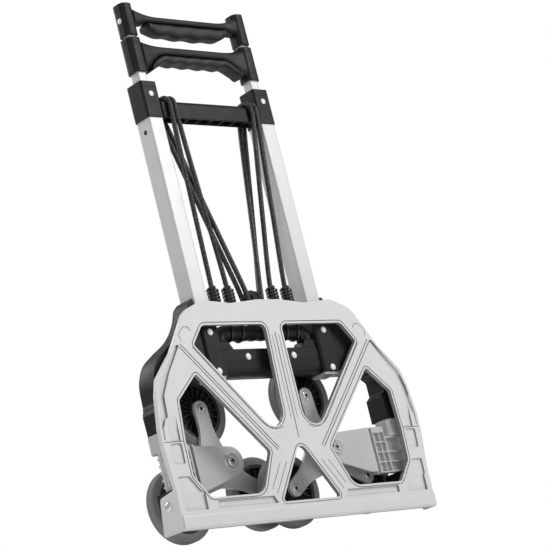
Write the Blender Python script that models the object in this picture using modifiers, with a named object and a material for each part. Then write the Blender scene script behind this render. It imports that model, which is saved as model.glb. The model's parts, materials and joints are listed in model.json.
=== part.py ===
"""Folding stair-climbing hand truck, stored folded with its handles down.

Frame of reference, in metres: +X to the truck's right, +Y to its rear, +Z up.
The origin is the middle of the toe plate's bottom edge, which rests on the floor.
"""
import math

import bmesh
import bpy
from mathutils import Matrix, Vector

# ---------------------------------------------------------------- driving sizes
GAP = 0.0003                 # play between pieces that touch
BORE_PLAY = 0.0003           # radial play of a pin or bolt in its hole

# toe plate, in its own plane, which leans forward about its bottom edge
TOE_LEAN = math.radians(1.72)
TOE_FRONT = -0.0045          # front face, measured along Y
TOE_REAR = 0.0058            # rear face, which carries the load once folded down
BUMPER_FRONT = -0.0065
BUMPER_TOP = 0.022
EAR_OUTER = 0.2390
EAR_WALL = 0.0024
EAR_HEEL = {-1: [(0.0375, 0.0, 0.004)],              # the right one clears the wheels in front
            1: [(0.0190, 0.0, 0.004), (0.0335, 0.0190, 0.004)]}
PIVOT_Y, PIVOT_Z = 0.0155, 0.0370
PIVOT_PIN_R = 0.0030
POCKET_SKIN = 0.0030         # wall left in front of each foot
POCKET_INNER = 0.1905
POCKET_LOW, POCKET_HIGH = 0.005, 0.062

# telescoping tubes: width along X, depth along Y
TUBE_X = 0.107               # centre of each leg of the frame
TUBE_Y = 0.0174
OUTER_TUBE = (0.0260, 0.0285)
MIDDLE_TUBE = (0.0155, 0.0170)
INNER_TUBE = (0.0122, 0.0137)
OUTER_WALL, MIDDLE_WALL, INNER_WALL = 0.0015, 0.0012, 0.0010
OUTER_TUBE_Z = (0.2040, 0.6280)
MIDDLE_TUBE_Z = (0.3700, 0.6950)
INNER_TUBE_Z = (0.4600, 0.7500)
HANDLE_TRAVEL = 0.175        # of each of the two stages
SNAP_HOLE_Z = 0.565          # in the outer tube, where the extended handle locks
SNAP_HOLE_R = 0.0038
SNAP_BUTTON_R = 0.0033

# black base moulding
SOCKET_WALL_X, SOCKET_WALL_Y = 0.0022, 0.0028
SOCKET_Z = (0.2070, 0.2970)
BEAM_Z = (0.2070, 0.2450)
BEAM_Y = (0.0050, 0.0290)
SEAT_TOP = 0.2560            # where the carry handle's ends stand
ARM_Y = (0.0032, 0.0355)     # side arms
ARM_FOOT_Z = 0.1347
ARM_SHOULDER_X = 0.1850       # where the wing's curve from the tube levels out

# yoke
YOKE_Z = (0.5845, 0.6370)
YOKE_WALL = 0.0013
CROSSBAR_Y = (0.0008, 0.0218)
CROSSBAR_Z = (0.5830, 0.6100)
CROSSBAR_ROUND = 0.0085
YOKE_RIVET_Z = 0.6180

# carry handle
CARRY_Y, CARRY_Z = 0.0155, 0.2700
CARRY_END_X = 0.0812
CARRY_R, CARRY_GRIP_R, CARRY_GRIP_HALF = 0.0100, 0.0115, 0.034

# telescoping handles
LOWER_CAP = (0.0236, 0.0250)
LOWER_CAP_Z = (0.6540, 0.7055)
LOWER_SEAM_Z = 0.6830
LOWER_BAR_TOP = 0.6955
LOWER_GRIP_HALF = 0.088
UPPER_CAP = (0.0215, 0.0245)
UPPER_CAP_Z = (0.7105, 0.7580)
UPPER_SEAM_Z = 0.7320
UPPER_BAR_TOP = 0.7415
UPPER_GRIP_BOTTOM = 0.7135
UPPER_GRIP_HALF = 0.074
BAR_DEPTH, GRIP_DEPTH = 0.0215, 0.0235
LOBE = 0.0012                # finger lobes under both grips

# wheel hinges, clusters and wheels; each side is (sign, axis x, axis y)
HINGE = {"left": (-1, -0.2040, 0.0295), "right": (1, 0.2220, 0.0115)}
HINGE_PIN_R = 0.0030
BARREL_R = 0.0070
BARREL_Z = (0.0573, 0.1097)
KNUCKLE_Z = (0.1100, 0.1344)
FOOT_Z = (0.0200, 0.0570)
PIN_FOOT_DEPTH = 0.013
BLOCK_X = (0.1940, 0.2335)   # hinge block
SPINE_INNER = 0.2295
FOOT_X = (0.1940, 0.2363)
PLATE_OFFSET = {"left": 0.0145, "right": -0.0035}   # bracket plate's front from the hinge axis
PLATE_THICK = 0.0030
BODY_REACH = {"left": (0.0075, 0.0175), "right": (-0.0035, 0.0065)}
CLUSTER_X, CLUSTER_Z = 0.0830, 0.0990
ARM_LENGTH = 0.0840
ARM_THICK = 0.0050
ARM_HALF = 0.0115
ARM_SET_BACK = {"left": 0.0305, "right": 0.0265}     # bracket plate's front to the arms' front
STAR_HUB_R = 0.0160
CLUSTER_TURN = {"left": math.radians(93.0), "right": math.radians(94.1)}
CLUSTER_BOLT_R, WHEEL_BOLT_R = 0.0050, 0.0040
WHEEL_R = 0.0520
WHEEL_WIDTH = 0.0180
WHEEL_SET_BACK = 0.0015      # arms to wheels
RIM_R = 0.0400
TYRE_SHOULDER = 0.0035
HUB_WIDTH, HUB_BOSS_R = 0.0160, 0.0120
NUT_POCKET = 0.0045          # depth of the pocket behind each hub
CLUSTER_HEAD, CLUSTER_NUT = (0.0085, 0.0025), (0.0090, 0.0050)   # radius and thickness
WHEEL_HEAD, WHEEL_NUT = (0.0065, 0.0012), (0.0070, 0.0035)

# bungee cords, hooks and anchor
CORD_R = 0.0035
HOOK_COIL_R, HOOK_WIRE_R = 0.0060, 0.0016
HOOK_COIL_Z = (0.3000, 0.3270)
ANCHOR_Z = 0.3200            # centre of the turn that both cords make
ANCHOR_Y = 0.0203            # front of its back plate
OUTER_TURN_R, INNER_TURN_R = 0.0170, 0.0130          # of each cord round the anchor

BLACK = (0.028, 0.028, 0.030)
STEPS = 20


# ---------------------------------------------------------------- scene helpers
for thing in list(bpy.data.objects):
    bpy.data.objects.remove(thing)


def collection(name):
    made = bpy.data.collections.new(name)
    bpy.context.scene.collection.children.link(made)
    return made


MODEL = collection("hand_truck")
CUTTERS = collection("cutters")


def material(name, color, roughness, metallic=0.0):
    made = bpy.data.materials.new(name)
    made.use_nodes = True
    shader = made.node_tree.nodes["Principled BSDF"]
    shader.inputs["Base Color"].default_value = (*color, 1.0)
    shader.inputs["Roughness"].default_value = roughness
    shader.inputs["Metallic"].default_value = metallic
    return made


MATERIALS = {
    "black_plastic": material("black_plastic", BLACK, 0.5),
    "silver_plastic": material("silver_plastic", (0.72, 0.72, 0.71), 0.4, 0.2),
    "grey_plastic": material("grey_plastic", (0.36, 0.36, 0.36), 0.5, 0.2),
    "aluminium": material("aluminium", (0.74, 0.74, 0.74), 0.35, 1.0),
    "steel": material("steel", (0.68, 0.68, 0.67), 0.25, 1.0),
    "tyre": material("tyre", (0.13, 0.12, 0.115), 0.8),
    "hub_plastic": material("hub_plastic", (0.015, 0.015, 0.016), 0.45),
    "grip_rubber": material("grip_rubber", (0.02, 0.02, 0.021), 0.6),
    "cord": material("cord", (0.018, 0.018, 0.018), 0.9),
}


def place(name, mesh, slot=None, matrix=None):
    """An object of the model, or a cutter where no material slot is given."""
    thing = bpy.data.objects.new(name, mesh)
    (MODEL if slot else CUTTERS).objects.link(thing)
    if matrix is not None:
        thing.matrix_world = matrix
    if slot:
        if not mesh.materials:
            mesh.materials.append(MATERIALS[slot])
        mesh.shade_smooth()
        mesh.set_sharp_from_angle(angle=math.radians(35))
    else:
        thing.hide_render = True
        thing.display_type = "WIRE"
    return thing


def empty(name, location):
    made = bpy.data.objects.new(name, None)
    MODEL.objects.link(made)
    made.location = location
    return made


def hang(parent, *pieces):
    """Parent pieces to an empty on their joint's axis, leaving them where they are."""
    bpy.context.view_layer.update()
    for piece in pieces:
        piece.parent = parent
        piece.matrix_parent_inverse = parent.matrix_world.inverted()


def combine(target, operation, *tools):
    for tool in tools:
        step = target.modifiers.new(operation.lower(), "BOOLEAN")
        step.operation = operation
        step.solver = "EXACT"
        step.object = tool


def cut(target, *tools):
    combine(target, "DIFFERENCE", *tools)


def fuse(target, *tools):
    combine(target, "UNION", *tools)


def round_edges(target, width, segments=2, angle=60):
    step = target.modifiers.new("rounding", "BEVEL")
    step.width = width
    step.segments = segments
    step.limit_method = "ANGLE"
    step.angle_limit = math.radians(angle)


# ---------------------------------------------------------------- shape helpers
def fillet(corners, steps=3):
    """A closed outline through corners (x, y, radius), each rounded by an arc."""
    outline = []
    for i, (x, y, radius) in enumerate(corners):
        here = Vector((x, y))
        back = Vector(corners[i - 1][:2]) - here
        ahead = Vector(corners[(i + 1) % len(corners)][:2]) - here
        if radius <= 0:
            outline.append(here)
            continue
        half = back.angle(ahead) / 2
        reach = min(radius / math.tan(half), 0.49 * back.length, 0.49 * ahead.length)
        radius = reach * math.tan(half)
        back.normalize()
        ahead.normalize()
        centre = here + (back + ahead).normalized() * (radius / math.sin(half))
        first = here + back * reach - centre
        turn = first.angle_signed(here + ahead * reach - centre)
        for k in range(steps + 1):
            arm = first.copy()
            arm.rotate(Matrix.Rotation(-turn * k / steps, 2))
            outline.append(centre + arm)
    return outline


def rectangle(width, depth, centre=(0, 0), radius=0.0, steps=2):
    x, y = width / 2, depth / 2
    corners = [(-x, -y), (x, -y), (x, y), (-x, y)]
    return fillet([(centre[0] + a, centre[1] + b, radius) for a, b in corners], steps)


# where an outline's two axes point, and the axis that it is thickened along
FACING = {
    "front": Matrix(((1, 0, 0, 0), (0, 0, -1, 0), (0, 1, 0, 0), (0, 0, 0, 1))),
    "side": Matrix(((0, 0, 1, 0), (1, 0, 0, 0), (0, 1, 0, 0), (0, 0, 0, 1))),
    "top": Matrix.Identity(4),
}


def baked_curve(curve):
    """The closed mesh of a curve, with its caps welded on."""
    guide = bpy.data.objects.new("guide", curve)
    CUTTERS.objects.link(guide)
    bpy.context.view_layer.update()
    mesh = bpy.data.meshes.new_from_object(guide.evaluated_get(bpy.context.evaluated_depsgraph_get()))
    bpy.data.objects.remove(guide)
    shape = bmesh.new()
    shape.from_mesh(mesh)
    bmesh.ops.remove_doubles(shape, verts=shape.verts, dist=1e-6)
    shape.to_mesh(mesh)
    shape.free()
    return mesh


def slab(name, facing, loops, low, high, slot=None):
    """A flat outline, with any holes as further loops, thickened from low to high."""
    curve = bpy.data.curves.new(name, "CURVE")
    curve.dimensions = "2D"
    curve.fill_mode = "BOTH"
    curve.extrude = (high - low) / 2
    for loop in loops:
        spline = curve.splines.new("POLY")
        spline.points.add(len(loop) - 1)
        for point, (x, y) in zip(spline.points, loop):
            point.co = (x, y, 0, 1)
        spline.use_cyclic_u = True
    middle = (low + high) / 2
    mesh = baked_curve(curve)
    axis = {"front": (0, middle, 0), "side": (middle, 0, 0), "top": (0, 0, middle)}[facing]
    mesh.transform(Matrix.Translation(axis) @ FACING[facing])
    return place(name, mesh, slot)


def blocks(name, boxes, slot=None):
    """One mesh of boxes, each given by its two opposite corners."""
    shape = bmesh.new()
    for low, high in boxes:
        low, high = Vector([min(p) for p in zip(low, high)]), Vector([max(p) for p in zip(low, high)])
        size = high - low
        bmesh.ops.create_cube(shape, size=1.0, matrix=Matrix.Translation((low + high) / 2)
                              @ Matrix.Diagonal((*size, 1)))
    mesh = bpy.data.meshes.new(name)
    shape.to_mesh(mesh)
    shape.free()
    return place(name, mesh, slot)


AIM = {"X": Matrix.Rotation(math.pi / 2, 4, "Y"), "Y": Matrix.Rotation(-math.pi / 2, 4, "X"),
       "Z": Matrix.Identity(4)}


def rods(name, items, slot=None, segments=12):
    """One mesh of cylinders (axis, start point, end coordinate on that axis, radius)."""
    shape = bmesh.new()
    for axis, start, end, radius in items:
        k = "XYZ".index(axis)
        middle = Vector(start)
        middle[k] = (start[k] + end) / 2
        bmesh.ops.create_cone(shape, cap_ends=True, segments=segments, radius1=radius, radius2=radius,
                              depth=abs(end - start[k]), matrix=Matrix.Translation(middle) @ AIM[axis])
    mesh = bpy.data.meshes.new(name)
    shape.to_mesh(mesh)
    shape.free()
    return place(name, mesh, slot)


def turned(name, profile, slot, axis="Y", location=(0, 0, 0), closed=False, steps=STEPS, mesh=None):
    """A profile (radius, height) that runs down its outer side, turned about an axis."""
    if mesh is None:
        mesh = bpy.data.meshes.new(name)
        shape = bmesh.new()
        points = [shape.verts.new((r, 0, z)) for r, z in profile]
        for a, b in zip(points, points[1:] + (points[:1] if closed else [])):
            shape.edges.new((a, b))
        shape.to_mesh(mesh)
        shape.free()
        mesh.materials.append(MATERIALS[slot])
    thing = bpy.data.objects.new(name, mesh)
    MODEL.objects.link(thing)
    thing.matrix_world = Matrix.Translation(location) @ AIM[axis]
    step = thing.modifiers.new("turn", "SCREW")
    step.axis = "Z"
    step.steps = step.render_steps = steps
    step.use_merge_vertices = True
    step.merge_threshold = 1e-5
    step.use_smooth_shade = True
    return thing


def tube(name, points, radius, slot, radii=None, resolution=2):
    """A round bar along points; radii scales its thickness at each of them."""
    curve = bpy.data.curves.new(name, "CURVE")
    curve.dimensions = "3D"
    curve.bevel_depth = radius
    curve.bevel_resolution = resolution
    curve.use_fill_caps = True
    spline = curve.splines.new("POLY")
    spline.points.add(len(points) - 1)
    for k, (point, co) in enumerate(zip(spline.points, points)):
        point.co = (*co, 1)
        point.radius = radii[k] if radii else 1.0
    return place(name, baked_curve(curve), slot)


def smooth_path(route, spacing):
    """Points read from a smooth curve through a route's own points, no further apart than spacing."""
    ends = [route[0] * 2 - route[1]] + route + [route[-1] * 2 - route[-2]]
    path = []
    for before, start, end, after in zip(ends, ends[1:], ends[2:], ends[3:]):
        count = max(1, round((end - start).length / spacing))
        leave = (end - before).normalized() * (end - start).length
        arrive = (after - start).normalized() * (end - start).length
        for k in range(count):
            t = k / count
            path.append(start * (2 * t ** 3 - 3 * t ** 2 + 1) + leave * (t ** 3 - 2 * t ** 2 + t)
                        + end * (3 * t ** 2 - 2 * t ** 3) + arrive * (t ** 3 - t ** 2))
    path.append(route[-1])
    return path


def mirrored(points):
    """The same points seen from the other side of the truck, in reverse order."""
    return [Vector((-x, y, z)) for x, y, z in reversed(points)]


# ---------------------------------------------------------------- toe plate
def both_sides(half):
    """A closed outline from its right half, given from the top's middle to the bottom's."""
    return fillet([(x, z, r) for x, z, r in half] + [(-x, z, r) for x, z, r in reversed(half)])


TOE_OUTLINE = [(0.020, 0.3095, 0.030), (0.070, 0.3045, 0.040), (0.122, 0.3090, 0.030),
               (0.158, 0.2950, 0.035), (0.197, 0.2380, 0.006), (0.206, 0.2290, 0.006),
               (0.231, 0.2020, 0.010), (0.2385, 0.1780, 0.008), (0.2450, 0.1340, 0.010),
               (0.2445, 0.1100, 0.010), (0.2390, 0.0550, 0.008), (0.2395, 0.0000, 0.004)]
UPPER_WINDOW = [(0.0150, 0.2750, 0.009), (0.1320, 0.2750, 0.012), (0.1540, 0.2470, 0.004),
                (0.0600, 0.1420, 0.012), (0.0420, 0.1330, 0.009), (0.0190, 0.1420, 0.007)]
LOWER_WINDOW = [(0.1620, 0.2070, 0.004), (0.2010, 0.1720, 0.006), (0.2050, 0.1150, 0.010),
                (0.2040, 0.0700, 0.008), (0.1800, 0.0400, 0.010), (0.0860, 0.0400, 0.022),
                (0.0580, 0.0970, 0.006)]
CENTRE_WINDOW = [(0.0000, 0.1080, 0.010), (0.0530, 0.0300, 0.002), (0.0510, 0.0260, 0.002),
                 (-0.0510, 0.0260, 0.002), (-0.0530, 0.0300, 0.002)]


def toe_plate():
    windows = []
    for half in (UPPER_WINDOW, LOWER_WINDOW):
        windows.append(fillet(half))
        windows.append(fillet([(-x, z, r) for x, z, r in half]))
    windows.append(fillet(CENTRE_WINDOW))
    plate = slab("toe_plate", "front", [both_sides(TOE_OUTLINE)] + windows,
                 TOE_FRONT, TOE_REAR, "silver_plastic")
    lean = Matrix.Rotation(TOE_LEAN, 4, "X")
    additions = [blocks("bumper", [((-0.2385, BUMPER_FRONT, 0), (0.2385, TOE_REAR - 0.001, BUMPER_TOP))])]
    removals = []
    for sign in (-1, 1):
        ear = fillet([(BUMPER_FRONT + 0.002, 0.0, 0), *EAR_HEEL[sign], (0.0305, 0.0500, 0.006),
                      (BUMPER_FRONT + 0.002, 0.0560, 0)])
        x = sorted((sign * (EAR_OUTER - EAR_WALL), sign * EAR_OUTER))
        additions.append(slab("ear", "side", [ear], *x))
        removals.append(blocks("pocket", [
            ((sign * POCKET_INNER, TOE_FRONT + POCKET_SKIN, POCKET_LOW),
             (sign * (EAR_OUTER - EAR_WALL), 0.02, POCKET_HIGH))]))
    for tool in additions + removals:
        tool.matrix_world = lean
    plate.matrix_world = lean
    fuse(plate, *additions)
    cut(plate, *removals)
    for sign in (-1, 1):
        cut(plate, rods("ear_bore", [("X", (sign * 0.23, PIVOT_Y, PIVOT_Z), sign * 0.25,
                                      PIVOT_PIN_R + BORE_PLAY)]))
    return plate


def toe_pivot(name, sign):
    """Shouldered screw through the ear into the foot."""
    inner, seat, outer = FOOT_X[0] + 0.014, EAR_OUTER + GAP, EAR_OUTER + 0.0027
    profile = [(0, outer), (0.0050, outer), (0.0060, outer - 0.001), (0.0060, seat),
               (PIVOT_PIN_R, seat), (PIVOT_PIN_R, inner), (0, inner)]
    pin = turned(name, profile, "steel", steps=12)
    turn = Matrix.Rotation(sign * math.pi / 2, 4, "Y")
    pin.matrix_world = Matrix.Translation((0, PIVOT_Y, PIVOT_Z)) @ turn
    return pin


# ---------------------------------------------------------------- frame
def square_tube(name, sign, size, wall, span):
    centre = (sign * TUBE_X, TUBE_Y)
    loops = [rectangle(*size, centre, 0.002),
             rectangle(size[0] - 2 * wall, size[1] - 2 * wall, centre, 0.001)]
    return slab(name, "top", loops, *span, "aluminium")


def outer_tube(name, sign):
    body = square_tube(name, sign, OUTER_TUBE, OUTER_WALL, OUTER_TUBE_Z)
    face = sign * (TUBE_X + OUTER_TUBE[0] / 2)
    front = TUBE_Y - OUTER_TUBE[1] / 2
    cut(body, rods("snap_hole", [("X", (face - sign * 0.004, TUBE_Y, SNAP_HOLE_Z),
                                  face + sign * 0.002, SNAP_HOLE_R)]),
        rods("rivet_hole", [("Y", (sign * TUBE_X, front - 0.003, YOKE_RIVET_Z), front + 0.003, 0.0023)]))
    return body


def sleeve_outline(sign, size, wall_x, wall_y, radius):
    return rectangle(size[0] + 2 * (wall_x + GAP), size[1] + 2 * (wall_y + GAP),
                     (sign * TUBE_X, TUBE_Y), radius)


def tube_hole(name, sign, size, low, high):
    return slab(name, "top", [rectangle(size[0] + 2 * GAP, size[1] + 2 * GAP,
                                        (sign * TUBE_X, TUBE_Y), 0.002)], low, high)


def base_crossbeam():
    """Crossbeam with a socket at each end that holds an outer tube."""
    socket_inner = TUBE_X - OUTER_TUBE[0] / 2 - SOCKET_WALL_X
    section = fillet([(BEAM_Y[0], BEAM_Z[1], 0.003), (BEAM_Y[0], BEAM_Z[0], 0.013),
                      (BEAM_Y[1], BEAM_Z[0], 0.004), (BEAM_Y[1], BEAM_Z[1], 0.003)])
    beam = slab("base_crossbeam", "side", [section], -socket_inner, socket_inner, "black_plastic")
    for sign in (-1, 1):
        seat = fillet([(sign * 0.066, BEAM_Z[1] - 0.004, 0), (sign * 0.066, BEAM_Z[1], 0),
                       (sign * 0.073, SEAT_TOP, 0.003), (sign * (socket_inner + 0.001), SEAT_TOP, 0),
                       (sign * (socket_inner + 0.001), BEAM_Z[1] - 0.004, 0)])
        fuse(beam, slab("seat", "front", [seat], BEAM_Y[0] + 0.001, BEAM_Y[1] - 0.001))
        fuse(beam, slab("socket", "top", [sleeve_outline(sign, OUTER_TUBE, SOCKET_WALL_X,
                                                         SOCKET_WALL_Y, 0.004)], *SOCKET_Z))
        cut(beam, tube_hole("socket_hole", sign, OUTER_TUBE, SOCKET_Z[0] - 0.01, SOCKET_Z[1] + 0.01))
    return beam


def side_arm(name, sign):
    """Curved wing from the tube socket out and down to the wheel hinge."""
    inner = TUBE_X + OUTER_TUBE[0] / 2 + SOCKET_WALL_X + 2 * GAP
    neck = [inner + share * (ARM_SHOULDER_X - inner) for share in (0.156, 0.264, 0.442, 0.677)]
    corners = [(inner, 0.208, 0), (inner, 0.3180, 0), (neck[0], 0.3100, 0.006), (neck[1], 0.2933, 0.010),
               (neck[2], 0.2771, 0.012), (neck[3], 0.2627, 0.014), (ARM_SHOULDER_X, 0.2510, 0.016),
               (0.2130, 0.2320, 0.014), (0.2250, 0.2060, 0.006), (0.2260, 0.176, 0.003), (0.2300, 0.163, 0.002),
               (0.2290, ARM_FOOT_Z, 0), (0.1940, ARM_FOOT_Z, 0), (0.1945, 0.169, 0.002),
               (0.2030, 0.175, 0.002), (0.2030, 0.196, 0.006), (0.1860, 0.208, 0.008)]
    arm = slab(name, "front", [fillet([(sign * x, z, r) for x, z, r in corners], 2)],
               *ARM_Y, "black_plastic")
    round_edges(arm, 0.004, 1)
    return arm


def yoke():
    """Crossbar joined to a block on top of each outer tube."""
    block_inner = TUBE_X - OUTER_TUBE[0] / 2 - YOKE_WALL
    section = fillet([(CROSSBAR_Y[0], CROSSBAR_Z[0], 0.001), (CROSSBAR_Y[0], CROSSBAR_Z[1], CROSSBAR_ROUND),
                      (CROSSBAR_Y[1], CROSSBAR_Z[1], CROSSBAR_ROUND), (CROSSBAR_Y[1], CROSSBAR_Z[0], 0.001)])
    bar = slab("yoke", "side", [section], -block_inner, block_inner, "black_plastic")
    front = TUBE_Y - OUTER_TUBE[1] / 2 - YOKE_WALL - GAP
    for sign in (-1, 1):
        fuse(bar, slab("yoke_block", "top", [sleeve_outline(sign, OUTER_TUBE, YOKE_WALL, YOKE_WALL,
                                                            0.003)], *YOKE_Z))
        cut(bar, tube_hole("sleeve_hole", sign, OUTER_TUBE, YOKE_Z[0] - 0.01, OUTER_TUBE_Z[1] + GAP),
            tube_hole("guide_hole", sign, MIDDLE_TUBE, OUTER_TUBE_Z[1] - 0.01, YOKE_Z[1] + 0.01),
            rods("yoke_rivet_hole", [("Y", (sign * TUBE_X, front - 0.002, YOKE_RIVET_Z),
                                      front + 0.004, 0.0023)]))
    return bar


def yoke_rivet(name, sign):
    front = TUBE_Y - OUTER_TUBE[1] / 2 - YOKE_WALL - GAP
    back = TUBE_Y - OUTER_TUBE[1] / 2 + OUTER_WALL + 0.0003
    head, seat = front - 0.0015, front - GAP
    profile = [(0, -head), (0.0036, -head), (0.0042, -head - 0.0006), (0.0042, -seat),
               (0.0020, -seat), (0.0020, -back), (0, -back)]
    rivet = turned(name, profile, "steel", steps=12)
    rivet.matrix_world = Matrix.Translation((sign * TUBE_X, 0, YOKE_RIVET_Z)) @ Matrix.Rotation(
        math.pi / 2, 4, "X")
    return rivet


def carry_handle():
    """Fixed grab bar that stands on the crossbeam's two seats."""
    foot_z = SEAT_TOP + GAP
    bend = CARRY_Z - foot_z - 0.002
    points, radii = [(CARRY_END_X, CARRY_Y, foot_z)], [1.0]
    for k in range(5):
        turn = math.pi / 2 * k / 4
        points.append((CARRY_END_X - bend * (1 - math.cos(turn)), CARRY_Y,
                       foot_z + 0.002 + bend * math.sin(turn)))
        radii.append(1.0)
    fat = CARRY_GRIP_R / CARRY_R
    for x, scale in ((CARRY_GRIP_HALF + 0.002, 1.0), (CARRY_GRIP_HALF, fat), (0.0, fat)):
        points.append((x, CARRY_Y, CARRY_Z))
        radii.append(scale)
    points = [Vector(p) for p in points]
    return tube("carry_handle", points + mirrored(points[:-1]), CARRY_R, "black_plastic",
                radii + radii[-2::-1], 3)


# ---------------------------------------------------------------- cords
# Right half of each cord, from the turn at the anchor, up behind the crossbar,
# over it and down in front to the hook.  The left half mirrors it.
OVER_THE_BAR = [(0.0261, 0.5900), (0.0261, 0.6015), (0.0244, 0.6079), (0.0197, 0.6126),
                (0.0133, 0.6143), (0.0093, 0.6143), (0.0029, 0.6126), (-0.0018, 0.6079),
                (-0.0035, 0.6015), (-0.0035, 0.5900)]
OUTER_ROUTE = ([(0.0000, 0.0165, 0.3030), (0.0085, 0.0165, 0.3053), (0.0147, 0.0165, 0.3115),
                (0.0170, 0.0165, 0.3200), (0.0205, 0.0170, 0.3380), (0.0347, 0.0190, 0.3950),
                (0.0502, 0.0212, 0.4600), (0.0657, 0.0235, 0.5250), (0.0785, 0.0254, 0.5780)]
               + [(0.0820, y, z) for y, z in OVER_THE_BAR]
               + [(0.0795, 0.0008, 0.5400), (0.0765, 0.0053, 0.4800), (0.0740, 0.0092, 0.4280),
                  (0.0715, 0.0130, 0.3780), (0.0700, 0.0155, 0.3420), (0.0700, 0.0155, 0.3273)])
INNER_ROUTE = ([(0.0000, 0.0090, 0.3070), (0.0065, 0.0090, 0.3087), (0.0113, 0.0090, 0.3135),
                (0.0130, 0.0090, 0.3200), (0.0161, 0.0098, 0.3380), (0.0290, 0.0132, 0.3950),
                (0.0434, 0.0175, 0.4600), (0.0577, 0.0217, 0.5250), (0.0697, 0.0251, 0.5780)]
               + [(0.0730, y, z) for y, z in OVER_THE_BAR]
               + [(0.0670, 0.0008, 0.5400), (0.0592, 0.0053, 0.4800), (0.0524, 0.0092, 0.4280),
                  (0.0458, 0.0130, 0.3780), (0.0420, 0.0155, 0.3420), (0.0420, 0.0155, 0.3273)])
CORD_SPACING = 0.0300


def cord(name, half):
    half = [Vector(p) for p in half]
    return tube(name, smooth_path(mirrored(half[1:]) + half, CORD_SPACING), CORD_R, "cord")


def cord_hook(name, x):
    """Wire hook that wraps the carry handle, with a coil that grips the cord's end."""
    side = math.copysign(1, x)
    x_low = side * min(abs(x), CARRY_END_X - 0.0185)
    wrap = CARRY_R + HOOK_WIRE_R + GAP
    points = [(x, CARRY_Y, HOOK_COIL_Z[1]), (x, CARRY_Y, HOOK_COIL_Z[0]),
              (x, CARRY_Y, HOOK_COIL_Z[0] - 0.0015), (x_low, CARRY_Y - 0.35 * wrap, 0.2920),
              (x_low, CARRY_Y - 0.85 * wrap, 0.2800)]
    for degrees in range(180, 341, 32):
        turn = math.radians(degrees)
        points.append((x_low, CARRY_Y + wrap * math.cos(turn), CARRY_Z + wrap * math.sin(turn)))
    fat = HOOK_COIL_R / HOOK_WIRE_R
    return tube(name, points, HOOK_WIRE_R, "black_plastic", [fat, fat] + [1.0] * (len(points) - 2))


def cord_anchor():
    """Saddle on the carry handle that both cords turn round."""
    bottom = CARRY_Z + CARRY_GRIP_R + GAP
    plate = slab("cord_anchor", "front", [fillet([(-0.012, bottom, 0), (0.012, bottom, 0),
                                                  (0.012, ANCHOR_Z, 0.004), (-0.012, ANCHOR_Z, 0.004)])],
                 ANCHOR_Y, ANCHOR_Y + 0.0035, "black_plastic")
    turn_play = CORD_R + 0.0010
    fuse(plate, blocks("foot_pad", [((-0.0115, 0.0090, bottom), (0.0115, ANCHOR_Y + 0.0030, bottom + 0.006))]),
         rods("turn_post", [("Y", (0, 0.0128, ANCHOR_Z), ANCHOR_Y + 0.001, OUTER_TURN_R - turn_play)], segments=16),
         rods("turn_nose", [("Y", (0, 0.0050, ANCHOR_Z), 0.0150, INNER_TURN_R - turn_play)], segments=16))
    return plate


# ---------------------------------------------------------------- handles
def seam(x, level, flat, half, drop):
    """Height of the line where a handle's shell meets its grip."""
    past = max(0.0, abs(x) - flat) / (half - flat)
    return level - drop * past ** 2


def handle(name, cap, cap_z, bar_top, rise, line, half, tube_size, tube_top, through):
    """Bar shell joined to a cap on top of each tube."""
    samples = [half * k / 10 for k in range(-10, 11)]
    under = [Vector((x, line(x))) for x in samples]
    inner = TUBE_X - cap[0] / 2 + 0.002
    over = [Vector((inner, cap_z[1] - 0.003))]
    for k in range(9, -10, -1):
        x = inner * k / 10
        over.append(Vector((x, bar_top + rise * max(0.0, abs(k) / 10 - 0.55) ** 2 / 0.2025)))
    over.append(Vector((-inner, cap_z[1] - 0.003)))
    foot = line(half)
    outline = [Vector((-inner, foot))] + under + [Vector((inner, foot))] + over
    bar = slab(name, "front", [outline], TUBE_Y - BAR_DEPTH / 2, TUBE_Y + BAR_DEPTH / 2, "black_plastic")
    for sign in (-1, 1):
        block = slab("cap", "top", [rectangle(*cap, (sign * TUBE_X, TUBE_Y), 0.008)], *cap_z)
        fuse(bar, block)
        cut(bar, tube_hole("cap_hole", sign, tube_size, cap_z[0] - 0.02, tube_top + GAP))
        if through:
            cut(bar, tube_hole("guide", sign, through, tube_top - 0.01, cap_z[1] + 0.01))
    return bar


def grip(name, line, half, thick, lobes):
    """Soft grip under a handle's bar, with finger lobes along its bottom."""
    samples = [half * k / 20 for k in range(-20, 21)]
    top = [Vector((x, line(x) - GAP)) for x in samples]
    bottom = []
    for x in reversed(samples):
        share = abs(x) / half
        body = thick * (1 - 0.35 * share ** 4)
        bottom.append(Vector((x, line(x) - GAP - body + LOBE * math.cos(math.pi * lobes * (x / half + 1)))))
    piece = slab(name, "front", [top + bottom], TUBE_Y - GRIP_DEPTH / 2, TUBE_Y + GRIP_DEPTH / 2,
                 "grip_rubber")
    return piece


def lower_line(x):
    return seam(x, LOWER_SEAM_Z, 0.052, LOWER_GRIP_HALF, 0.022)


def upper_line(x):
    return seam(x, UPPER_SEAM_Z, 0.070, 0.088, 0.004)


def middle_tube(name, sign):
    body = square_tube(name, sign, MIDDLE_TUBE, MIDDLE_WALL, MIDDLE_TUBE_Z)
    face = sign * (TUBE_X + MIDDLE_TUBE[0] / 2)
    cut(body, rods("button_hole", [("X", (face - sign * 0.004, TUBE_Y, SNAP_HOLE_Z - HANDLE_TRAVEL),
                                    face + sign * 0.002, SNAP_BUTTON_R + BORE_PLAY)]))
    return body


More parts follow.
